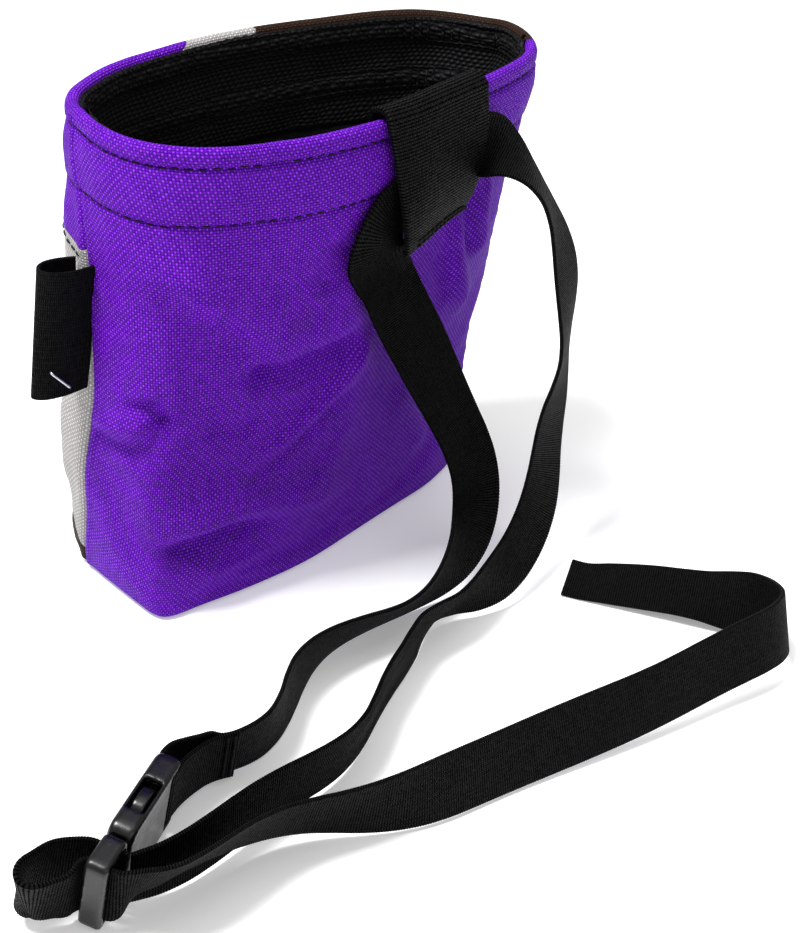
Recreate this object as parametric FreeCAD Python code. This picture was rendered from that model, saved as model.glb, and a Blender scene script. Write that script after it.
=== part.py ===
import FreeCAD
import Part
import math
import os
from FreeCAD import Vector as V

# Treat pouch on a belt.  Millimetres, +Z up, the boxed bottom on Z = 0.
# The wearer side (back panel, belt loop) faces -Y, +X runs along the mouth.
# Left means -X and right means +X throughout.

os.makedirs("parts", exist_ok=True)

# ---------------------------------------------------------------------------
# Driving dimensions
# ---------------------------------------------------------------------------
POUCH_H = 156.0
CLOTH_T = 1.2
SEAM_GAP = 0.3                      # between neighbouring cloth pieces
INSIDE_OFF = CLOTH_T + SEAM_GAP     # nothing inside the cloth comes nearer to its outer face
OVERSHOOT = 2.0                     # cutters run this far past the ends of a wall
LINING_OFF = 1.8                    # the lining starts this far inside the outer face
LINING_T = 0.8
FLEECE_TOP = 114.0
COLLAR_OFF = 2.9
COLLAR_T = 1.0
COLLAR_Z0 = 108.0
STIFFENER_Z0, STIFFENER_Z1 = 136.5, 148.5
STITCH_UPPER_Z = 151.5
STITCH_LOWER_Z = 134.0
THREAD_T = 0.6
THREAD_CLEAR = 0.2                  # thread rows stand this far off the cloth
BELT_W = 20.0
WEBBING_T = 1.3                     # belt, belt loop and side elastic

# Mouth and bottom outlines: (x, y) at 32 stations, from the left seam along the wearer side
RIM = [
    (-68.5, 6), (-70, -6), (-68.5, -19), (-62, -31), (-51, -39.5), (-40, -43.3), (-24, -46.2),
    (-6, -46), (10, -44.5), (25, -40.8), (40, -37), (55, -32.7), (68, -28.5), (79, -23.5),
    (88, -16), (93, -8), (95.5, 0), (95, 7), (91.5, 13), (87.5, 20), (82, 26.5), (72, 32.3),
    (53.3, 37.4), (34.7, 40.2), (15, 41.5), (0, 41.3), (-12, 39.8), (-26, 37.2), (-40.2, 33.4),
    (-53.4, 26), (-61.8, 19.5), (-66.5, 13),
]
BASE = [
    (-71.9, 5.4), (-71, -10), (-69.5, -25), (-66.2, -34.5), (-55, -36), (-42, -36.7),
    (-26, -36.9), (-10, -35.9), (6, -33), (22, -29.7), (37, -26.8), (51, -24), (61, -20.6),
    (69, -16.5), (74.5, -8.5), (77, 1), (77.5, 9), (76.5, 16), (74.5, 22.5), (70, 28),
    (62, 31.5), (50, 33.7), (34, 35), (18, 35.6), (2, 35.6), (-12, 35.2), (-24, 34.6),
    (-36, 33.3), (-46, 31.2), (-56, 26.5), (-63.5, 19.5), (-69, 12),
]
# (height, share of the mouth outline)
RIM_SHARE = [(0, 0), (12, .03), (40, .07), (56, .1), (75, .36), (105, .57), (115, .62),
             (130, .85), (145, 1), (156, 1)]
# (height, bulge of the left side)
LEFT_BULGE = [(0, 0), (12, 3), (40, 5.5), (60, 5), (105, 2.5), (135, 1), (156, 0)]
# heights of the loft sections
LOFT_LEVELS = [0, 12, 26, 40, 56, 66, 75, 90, 105, 115, 122, 130, 138, 145, 156]
LEVEL_MARGIN = 3        # no section this close to the end of a loft

# Buckle frame: origin at the ladder end, lower edge, middle of the thickness
BUCKLE_L, BUCKLE_W, BUCKLE_T = 43.3, 24.2, 7.4
BUCKLE_MID = BUCKLE_W / 2.0
BUCKLE_ORIGIN = V(-146.157, -125.820, 0.518)


# ---------------------------------------------------------------------------
# General helpers
# ---------------------------------------------------------------------------
def unit(vector):
    result = V(vector)
    result.normalize()
    return result


def half_space(point, normal, size=600.0):
    """box that fills the side of the plane the normal points to"""
    box = Part.makeBox(size, size, size, V(-size / 2, -size / 2, 0))
    box.Placement = FreeCAD.Placement(V(point), FreeCAD.Rotation(V(0, 0, 1), unit(normal)))
    return box


def save(shape, name):
    """drop slivers, repair the shape if it needs it, and write it"""
    solids = [solid for solid in shape.Solids if solid.Volume > 0.5]
    shape = solids[0] if len(solids) == 1 else Part.makeCompound(solids)
    if not shape.isValid():
        shape.fix(0.01, 0.01, 0.01)
    shape.exportStep("parts/%s.step" % name)


# ---------------------------------------------------------------------------
# Pouch wall
# ---------------------------------------------------------------------------
def interpolate(table, z):
    """linear value at z, which lies within the table"""
    for (z0, value0), (z1, value1) in zip(table, table[1:]):
        if z <= z1:
            return value0 + (value1 - value0) * (z - z0) / float(z1 - z0)


def outline(z):
    """(x, y) stations of the outer face at height z"""
    z = min(max(z, 0.0), POUCH_H)
    share = interpolate(RIM_SHARE, z)
    bulge = interpolate(LEFT_BULGE, z)
    points = []
    for (base_x, base_y), (rim_x, rim_y) in zip(BASE, RIM):
        x = base_x * (1 - share) + rim_x * share
        y = base_y * (1 - share) + rim_y * share
        # the bulge fades away from the left end and toward the wearer side
        fade = math.exp(-((x + 72) / 22.0) ** 2) * min(max((y + 38) / 20.0, 0.0), 1.0)
        x -= bulge * fade
        if y < -20:
            # shallow swell of the back panel, centred on x = -8, z = 128
            swell_z = math.exp(-((z - 128) / 16.0) ** 2)
            y -= 2.5 * swell_z * math.exp(-((x + 8) / 30.0) ** 2)
        points.append((x, y))
    return points


def outward_normals(points):
    count = len(points)
    result = []
    for i in range(count):
        x0, y0 = points[i - 1]
        x1, y1 = points[(i + 1) % count]
        dx, dy = x1 - x0, y1 - y0
        length = math.hypot(dx, dy)
        result.append((dy / length, -dx / length))
    return result


def ring(z, inset):
    """closed outline at height z, moved inward by inset"""
    stations = outline(z)
    points = [V(x - nx * inset, y - ny * inset, z)
              for (x, y), (nx, ny) in zip(stations, outward_normals(stations))]
    count = len(points)
    curve = Part.BSplineCurve()
    curve.interpolate(Points=points, PeriodicFlag=True,
                      Parameters=[float(i) / count for i in range(count + 1)])
    return Part.Wire([curve.toShape()])


def bag(inset, z0, z1):
    """solid body of the pouch between two heights"""
    between = [z for z in LOFT_LEVELS if z0 + LEVEL_MARGIN < z < z1 - LEVEL_MARGIN]
    return Part.makeLoft([ring(z, inset) for z in [z0] + between + [z1]], True, False)


def shell(inset, thick, z0, z1, floor=None):
    """wall of the pouch, open below unless the height of a floor is given"""
    outer = bag(inset, z0, z1)
    inner = bag(inset + thick, z0 - OVERSHOOT if floor is None else floor, z1 + OVERSHOOT)
    return outer.cut(inner)


# ---------------------------------------------------------------------------
# Straps and threads
# ---------------------------------------------------------------------------
def strip(tops, lows, thick, spans_per_face=6):
    """strap of even thickness between two edge lines"""
    corners = [[], [], [], []]
    params = [0.0]
    mids = [(top + low) * 0.5 for top, low in zip(tops, lows)]
    last = len(mids) - 1
    for i, (top, low) in enumerate(zip(tops, lows)):
        along = mids[min(i + 1, last)] - mids[max(i - 1, 0)]
        across = unit(top - low)
        along = unit(along - across * along.dot(across))
        offset = unit(along.cross(across)) * (thick / 2.0)
        section = (top + offset, low + offset, low - offset, top - offset)
        for line, point in zip(corners, section):
            line.append(point)
        if i:
            params.append(params[-1] + (mids[i] - mids[i - 1]).Length)
    params = [param / params[-1] for param in params]

    curves = []
    for line in corners:
        curve = Part.BSplineCurve()
        curve.interpolate(Points=line, Parameters=params)
        curves.append(curve)

    # ruled sides, cut into short faces
    faces = []
    for k in range(4):
        first, second = curves[k], curves[(k + 1) % 4]
        knots = first.getKnots()
        ruled = Part.BSplineSurface()
        ruled.buildFromPolesMultsKnots(
            [[p, q] for p, q in zip(first.getPoles(), second.getPoles())],
            first.getMultiplicities(), [2, 2], knots, [0.0, 1.0],
            False, False, first.Degree, 1)
        end = len(knots) - 1
        cuts = list(range(0, end, spans_per_face))
        if end - cuts[-1] < 3 and len(cuts) > 1:
            cuts.pop()
        cuts.append(end)
        for start, stop in zip(cuts, cuts[1:]):
            piece = ruled.copy()
            piece.segment(knots[start], knots[stop], 0.0, 1.0)
            faces.append(piece.toShape())

    for end in (0, -1):
        section = [line[end] for line in corners]
        faces.append(Part.Face(Part.makePolygon(section + [section[0]])))
    skin = Part.Shell(faces)
    skin.sewShape()
    solid = Part.Solid(skin)
    if solid.Volume < 0:
        solid.reverse()
    return solid


def band(rows, width, thick):
    """flat strap; rows hold its centre (x, y, z) and the direction across its width"""
    tops, lows = [], []
    for row in rows:
        centre = V(*row[:3])
        reach = unit(V(*row[3:])) * (width / 2.0)
        tops.append(centre + reach)
        lows.append(centre - reach)
    return strip(tops, lows, thick)


def cord(points, radius):
    curve = Part.BSplineCurve()
    curve.interpolate(Points=points)
    path = Part.Wire([curve.toShape()])
    profile = Part.Wire([Part.makeCircle(radius, points[0], points[1] - points[0])])
    return path.makePipeShell([profile], True, False)


# ---------------------------------------------------------------------------
# Outer cloth: back panel and three colour-blocked front pieces
# ---------------------------------------------------------------------------
HALF_GAP = SEAM_GAP / 2

# side seam plane between the back panel and the front pieces
side_seam = V(-72, -3, 0)
side_seam_run = V(93, -14, 0) - side_seam
to_front = unit(V(-side_seam_run.y, side_seam_run.x, 0))


def colour_seam(start, end, drop):
    """plane normal through two points, sinking by drop per unit toward the wearer side

    The normal points to the lower right.
    """
    third = end + V(0, -1, -drop)
    normal = unit((end - start).cross(third - start))
    if normal.dot(V(60, 30, 20) - start) < 0:
        normal = normal * -1
    return normal


violet_seam = V(-10.7, 39.8, POUCH_H)
violet_normal = colour_seam(violet_seam, V(-72, 10, 118.5), 1.0)
brown_seam = V(15, 41.5, POUCH_H)
brown_corner = V(-75.2, 12, 34.3)
brown_normal = colour_seam(brown_seam, brown_corner, 0.6)
corner_normal = unit(V(0, 4.47, -1))

# the colour wedge only runs over the left part of the front
left_part = half_space(V(50, 0, 0), V(-1, 0, 0))
# beside the left seam the white reaches the bottom
left_corner = half_space(V(-45, 0, 0), V(-1, 0, 0))


def violet_zone(shift):
    """region above the violet seam, its border shifted toward the lower right"""
    zone = half_space(violet_seam + violet_normal * shift, violet_normal * -1)
    return zone.common(left_part)


def brown_zone(shift):
    """region below the brown seam, its borders shifted into the brown"""
    zone = half_space(brown_seam + brown_normal * shift, brown_normal)
    white_corner = half_space(brown_corner + corner_normal * shift, corner_normal * -1)
    return zone.cut(white_corner.common(left_corner))


cloth = shell(0.0, CLOTH_T, 0.0, POUCH_H)
back = cloth.common(half_space(side_seam - to_front * HALF_GAP, to_front * -1))
front = cloth.common(half_space(side_seam + to_front * HALF_GAP, to_front))
front_violet = front.common(violet_zone(-HALF_GAP))
front_brown = front.common(brown_zone(HALF_GAP))
front_white = front.cut(violet_zone(HALF_GAP)).cut(brown_zone(-HALF_GAP))
save(back, "back_panel")
save(front_violet, "front_panel_violet")
save(front_white, "front_panel_white")
save(front_brown, "front_panel_brown")

# boxed bottom
save(bag(INSIDE_OFF, 0.0, CLOTH_T), "base_panel")

# ---------------------------------------------------------------------------
# Inside: fleece bag, mesh collar, strip that keeps the mouth open
# ---------------------------------------------------------------------------
room = bag(INSIDE_OFF, -OVERSHOOT, POUCH_H + OVERSHOOT)
above_base = half_space(V(0, 0, INSIDE_OFF), V(0, 0, 1))
fleece = shell(LINING_OFF, LINING_T, INSIDE_OFF, FLEECE_TOP, floor=INSIDE_OFF + LINING_T)
save(fleece.common(room).common(above_base), "fleece_lining")

collar = shell(COLLAR_OFF, COLLAR_T, COLLAR_Z0, POUCH_H - 1.0).common(room)
save(collar, "mesh_collar")

# slightly thinner than the lining, with a 3 mm break at the right end
stiffener = shell(LINING_OFF - 0.05, LINING_T - 0.1, STIFFENER_Z0, STIFFENER_Z1)
stiffener = stiffener.common(room).cut(collar)
save(stiffener.cut(Part.makeBox(30, 3, 40, V(75, -9, 120))), "rim_stiffener")

# ---------------------------------------------------------------------------
# Thread rows on the cloth
# ---------------------------------------------------------------------------
ROW_SETBACK = 1.8       # from a colour seam to the thread row beside it
BROWN_ROW_MIN_Y = 12    # the row at the brown seam stays in front of this
body = bag(-THREAD_CLEAR / 2, 0.0, POUCH_H)


def thread_layer(z0, z1):
    return shell(-THREAD_CLEAR - THREAD_T, THREAD_T, z0, z1).cut(body)


def seam_row(layer, point, normal):
    """slice of the layer parallel to a colour seam, on its upper left side"""
    far = half_space(point - normal * (ROW_SETBACK + THREAD_T), normal)
    near = half_space(point - normal * ROW_SETBACK, normal * -1)
    return layer.common(far).common(near)


for z, name in ((STITCH_UPPER_Z, "rim_topstitch_upper"), (STITCH_LOWER_Z, "rim_topstitch_lower")):
    save(thread_layer(z - THREAD_T / 2, z + THREAD_T / 2), name)

seam_layer = thread_layer(4.0, STITCH_LOWER_Z - 2.0)
seam_layer = seam_layer.common(half_space(side_seam + to_front * 1.0, to_front))
seam_layer = seam_layer.common(left_part)
violet_row = seam_row(seam_layer, violet_seam, violet_normal)
brown_row = seam_row(seam_layer, brown_seam, brown_normal)
brown_row = brown_row.common(half_space(V(0, BROWN_ROW_MIN_Y, 0), V(0, 1, 0)))
save(Part.makeCompound(violet_row.Solids + brown_row.Solids), "stripe_topstitch")

# ---------------------------------------------------------------------------
# Belt loop: wide webbing folded over the rim of the back panel
# ---------------------------------------------------------------------------
# (wall height, lift above it, distance outside the outer face at the left and right edge)
FLAP = [
    (132.0, 0.0, -4.8, -4.8), (136.0, 0.0, -4.8, -4.8), (141.0, 0.0, -4.8, -4.8),
    (146.0, 0.0, -4.8, -4.8), (150.5, 0.0, -4.8, -4.8), (154.5, 0.0, -4.8, -4.8),
    (156.0, 0.9, -4.3, -4.3), (156.0, 2.2, -3.0, -3.0), (156.0, 2.8, -1.1, -1.1),
    (156.0, 2.2, 0.9, 0.9), (156.0, 0.9, 2.3, 2.3), (154.5, 0.0, 2.9, 2.9),
    (150.5, 0.0, 3.5, 3.5), (146.0, 0.0, 4.3, 4.2), (141.0, 0.0, 5.0, 4.6),
    (136.0, 0.0, 5.7, 4.8), (131.0, 0.0, 6.6, 4.8), (126.0, 0.0, 7.6, 4.6),
    (121.5, 0.0, 8.6, 3.8), (117.5, 0.0, 9.3, 2.6), (114.8, 0.0, 9.5, 2.1),
]
FLAP_LEFT_X, FLAP_RIGHT_X = 0.0, 45.5       # at the rim
FLAP_H = 38.0                               # height over which the edges draw in
FLAP_LEFT_IN, FLAP_RIGHT_IN = 5.0, 1.0


def back_wall_point(x, z, outward):
    """point beside the wearer-side wall, smooth between the stations"""
    points = outline(z)
    normals = outward_normals(points)
    for i in range(3, 14):
        (x1, y1), (x2, y2) = points[i], points[i + 1]
        if x1 <= x <= x2:
            f = (x - x1) / (x2 - x1)
            y0, y3 = points[i - 1][1], points[i + 2][1]
            # Catmull-Rom spline through the four stations around x
            y = 0.5 * (2 * y1 + (y2 - y0) * f
                       + (2 * y0 - 5 * y1 + 4 * y2 - y3) * f ** 2
                       + (3 * y1 - y0 - 3 * y2 + y3) * f ** 3)
            nx = normals[i][0] * (1 - f) + normals[i + 1][0] * f
            ny = normals[i][1] * (1 - f) + normals[i + 1][1] * f
            length = math.hypot(nx, ny)
            return V(x + nx / length * outward, y + ny / length * outward, z)


left_edge, right_edge = [], []
for z, lift, left_out, right_out in FLAP:
    depth = (POUCH_H - z) / FLAP_H
    rise = V(0, 0, lift)
    left_x = FLAP_LEFT_X + depth * FLAP_LEFT_IN
    right_x = FLAP_RIGHT_X - depth * FLAP_RIGHT_IN
    left_edge.append(back_wall_point(left_x, z, left_out) + rise)
    right_edge.append(back_wall_point(right_x, z, right_out) + rise)
belt_loop = strip(left_edge, right_edge, WEBBING_T)
save(belt_loop, "belt_loop")


def loop_thread(i, j, share):
    """thread across the outer face, at a share of the way from flap row i to row j"""
    left = left_edge[i] * (1 - share) + left_edge[j] * share
    right = right_edge[i] * (1 - share) + right_edge[j] * share
    across = right - left
    down = (left_edge[j] - left_edge[i]) + (right_edge[j] - right_edge[i])
    normal = unit(down.cross(across))
    if normal.y > 0:
        normal = normal * -1
    stand_off = normal * (WEBBING_T / 2 + 0.6 + THREAD_T / 2)
    return cord([left + across * f + stand_off for f in (0.22, 0.59, 0.96)], THREAD_T / 2)


# two rows across the sewn lower edge
save(Part.makeCompound([loop_thread(-2, -1, 0.5), loop_thread(-3, -2, 0.8)]),
     "belt_loop_stitching")

# ---------------------------------------------------------------------------
# Folded elastic at the left seam, with its staple
# ---------------------------------------------------------------------------
# (x, y) along the lower and the upper edge of the elastic
ELASTIC_LOW = [
    (-78.2, -7.2), (-80.6, -7.6), (-84.0, -7.7), (-87.6, -7.2), (-90.2, -6.0), (-91.4, -4.4),
    (-90.4, -2.8), (-87.6, -2.2), (-84.0, -2.4), (-80.6, -2.8), (-78.2, -3.2),
]
ELASTIC_TOP = [
    (-75.4, -9.6), (-77.6, -10.0), (-80.4, -9.8), (-83.2, -9.0), (-85.6, -7.2), (-86.8, -4.6),
    (-85.6, -1.8), (-83.2, -0.2), (-80.4, 0.2), (-77.6, 0.0), (-75.4, -0.6),
]
ELASTIC_Z0, ELASTIC_Z1 = 75.0, 114.0
ELASTIC_W = ELASTIC_Z1 - ELASTIC_Z0

elastic_rows = []
for (low_x, low_y), (top_x, top_y) in zip(ELASTIC_LOW, ELASTIC_TOP):
    elastic_rows.append(((low_x + top_x) / 2, (low_y + top_y) / 2, (ELASTIC_Z0 + ELASTIC_Z1) / 2,
                         top_x - low_x, top_y - low_y, ELASTIC_W))
save(band(elastic_rows, ELASTIC_W, WEBBING_T), "side_loop")

staple_start = V(-87.2, -8.55, 84.3)
staple_end = V(-81.9, -9.35, 78.4)
staple_dir = unit(staple_end - staple_start)
staple_out = unit(V(-0.1, -1.0, 0.0))
staple_points = [
    staple_start,
    staple_start + staple_out * 0.7 + staple_dir * 0.5,
    staple_start + staple_out * 0.85 + staple_dir * 1.6,
    staple_end + staple_out * 0.85 - staple_dir * 1.6,
    staple_end + staple_out * 0.7 - staple_dir * 0.5,
    staple_end,
]
save(cord(staple_points, 0.28), "side_loop_staple")

# ---------------------------------------------------------------------------
# Buckle frame
# ---------------------------------------------------------------------------
buckle_along = unit(V(0.847424, 0.530917, 0.0))         # toward the socket end
buckle_thick = unit(V(-0.525657, 0.839006, 0.140550))   # across the thickness
buckle_thick = unit(buckle_thick - buckle_along * buckle_thick.dot(buckle_along))
buckle_wide = buckle_along.cross(buckle_thick)          # across the width


def buckle_point(x, y, z):
    """pouch coordinates of (along, across thickness, across width)"""
    return BUCKLE_ORIGIN + buckle_along * x + buckle_thick * y + buckle_wide * z


def place_buckle(shape):
    """copy of a shape moved from the buckle frame to the pouch frame"""
    columns = (buckle_along, buckle_thick, buckle_wide, BUCKLE_ORIGIN)
    matrix = FreeCAD.Matrix(*([c.x for c in columns] + [c.y for c in columns]
                              + [c.z for c in columns] + [0, 0, 0, 1]))
    placed = shape.copy()
    placed.Placement = FreeCAD.Placement(matrix)
    return placed


# ---------------------------------------------------------------------------
# Belt webbing
# ---------------------------------------------------------------------------
# Strap paths: centre of the webbing (x, y, z) and the direction across its width (x, y, z)
SOCKET_RUN = [
    (-91.42, -101.98, 10.60, -0.025, -0.231, 0.973), (-83.65, -103.49, 10.37, 0.003, -0.224, 0.975),
    (-75.89, -102.64, 10.34, 0.036, -0.155, 0.987), (-68.76, -99.28, 10.45, 0.021, -0.051, 0.998),
    (-62.31, -94.57, 10.44, -0.007, 0.029, 1.000), (-55.88, -89.81, 10.26, 0.007, 0.037, 0.999),
    (-48.98, -85.80, 10.03, 0.064, -0.065, 0.996), (-41.58, -82.82, 9.79, 0.109, -0.234, 0.966),
    (-33.82, -80.95, 9.47, 0.107, -0.390, 0.915), (-25.88, -80.16, 9.07, 0.067, -0.495, 0.866),
    (-17.89, -80.17, 8.67, 0.016, -0.558, 0.830), (-9.89, -80.36, 8.61, -0.029, -0.569, 0.822),
    (-1.93, -80.11, 9.25, -0.076, -0.498, 0.864), (5.89, -79.22, 10.63, -0.150, -0.338, 0.929),
    (13.50, -77.70, 12.58, -0.259, -0.110, 0.960), (20.70, -75.45, 15.15, -0.437, 0.096, 0.894),
    (27.00, -72.43, 18.86, -0.680, 0.180, 0.710), (31.61, -69.09, 24.22, -0.892, 0.136, 0.432),
    (33.88, -66.06, 31.06, -0.991, 0.032, 0.129), (33.79, -63.55, 38.54, -0.991, -0.075, -0.115),
    (32.00, -61.32, 45.98, -0.954, -0.158, -0.255), (29.32, -59.16, 53.21, -0.929, -0.191, -0.317),
    (26.31, -57.08, 60.34, -0.920, -0.163, -0.356), (23.15, -55.14, 67.45, -0.917, -0.094, -0.387),
    (19.94, -53.31, 74.56, -0.913, -0.012, -0.408), (16.78, -51.39, 81.67, -0.907, 0.065, -0.416),
    (13.75, -49.14, 88.73, -0.904, 0.107, -0.413), (10.95, -46.57, 95.79, -0.921, 0.091, -0.378),
    (8.21, -44.45, 102.89, -0.902, 0.005, -0.432), (3.97, -44.96, 109.40, -0.794, 0.131, -0.594),
    (0.07, -47.56, 115.36, -0.948, 0.123, -0.293), (0.09, -48.77, 121.56, -0.934, -0.065, 0.352),
    (4.24, -47.37, 127.10, -0.604, -0.138, 0.785), (10.95, -46.13, 130.58, -0.287, -0.169, 0.943),
    (18.43, -44.08, 132.45, -0.158, -0.160, 0.974), (25.99, -41.94, 133.99, -0.159, -0.155, 0.975),
]
PLUG_RUN = [
    (25.99, -41.94, 133.99, -0.159, -0.155, 0.975), (33.62, -39.97, 135.63, -0.171, -0.149, 0.974),
    (41.14, -38.03, 137.15, -0.094, -0.119, 0.988), (47.67, -38.45, 137.29, 0.343, 0.114, 0.933),
    (53.06, -43.66, 134.94, 0.794, 0.491, 0.359), (57.06, -48.77, 130.44, 0.780, 0.625, -0.009),
    (60.26, -53.06, 124.60, 0.723, 0.683, -0.103), (62.52, -56.52, 117.77, 0.759, 0.646, -0.085),
    (64.14, -59.44, 110.50, 0.836, 0.547, -0.043), (65.25, -61.83, 102.95, 0.884, 0.466, -0.027),
    (65.89, -63.67, 95.19, 0.886, 0.462, -0.048), (66.08, -65.07, 87.31, 0.851, 0.518, -0.084),
    (65.90, -66.28, 79.39, 0.805, 0.581, -0.123), (65.26, -67.32, 71.48, 0.795, 0.585, -0.162),
    (64.05, -68.18, 63.61, 0.846, 0.489, -0.212), (62.32, -69.04, 55.84, 0.892, 0.360, -0.273),
    (60.22, -70.39, 48.24, 0.900, 0.278, -0.335), (57.81, -72.56, 40.94, 0.891, 0.206, -0.405),
    (54.89, -75.46, 34.10, 0.868, 0.098, -0.487), (51.05, -78.62, 27.87, 0.804, -0.029, -0.594),
    (46.03, -81.66, 22.51, 0.686, -0.134, -0.715), (39.92, -84.50, 18.28, 0.536, -0.199, -0.821),
    (33.01, -87.08, 15.30, 0.368, -0.221, -0.903), (25.50, -89.02, 13.50, 0.189, -0.161, -0.969),
    (17.63, -89.88, 12.68, 0.053, 0.060, -0.997), (9.63, -90.06, 12.47, 0.003, 0.354, -0.935),
    (1.69, -90.76, 12.26, -0.036, 0.482, -0.876), (-6.05, -92.63, 11.73, -0.031, 0.332, -0.943),
    (-13.46, -95.55, 11.15, 0.011, 0.119, -0.993), (-20.63, -99.10, 10.79, -0.006, 0.075, -0.997),
    (-27.75, -102.77, 10.67, -0.036, 0.079, -0.996), (-34.80, -106.58, 10.70, -0.049, 0.068, -0.996),
    (-41.61, -110.79, 10.79, -0.060, 0.068, -0.996), (-48.29, -115.22, 10.90, -0.077, 0.089, -0.993),
    (-55.22, -119.19, 11.09, -0.095, 0.125, -0.988), (-62.65, -122.02, 11.41, -0.088, 0.142, -0.986),
    (-70.47, -123.52, 11.81, -0.064, 0.141, -0.988), (-78.45, -124.10, 12.11, -0.031, 0.127, -0.991),
    (-86.45, -124.49, 12.21, -0.006, 0.087, -0.996), (-94.43, -125.20, 12.14, 0.009, 0.046, -0.999),
    (-102.37, -126.28, 11.99, 0.016, 0.027, -1.000), (-110.29, -127.44, 11.83, 0.015, 0.025, -1.000),
    (-118.26, -128.19, 11.72, 0.006, 0.041, -0.999), (-126.22, -127.92, 11.74, -0.007, 0.080, -0.997),
    (-134.05, -126.41, 11.98, -0.007, 0.130, -0.992),
]
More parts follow.
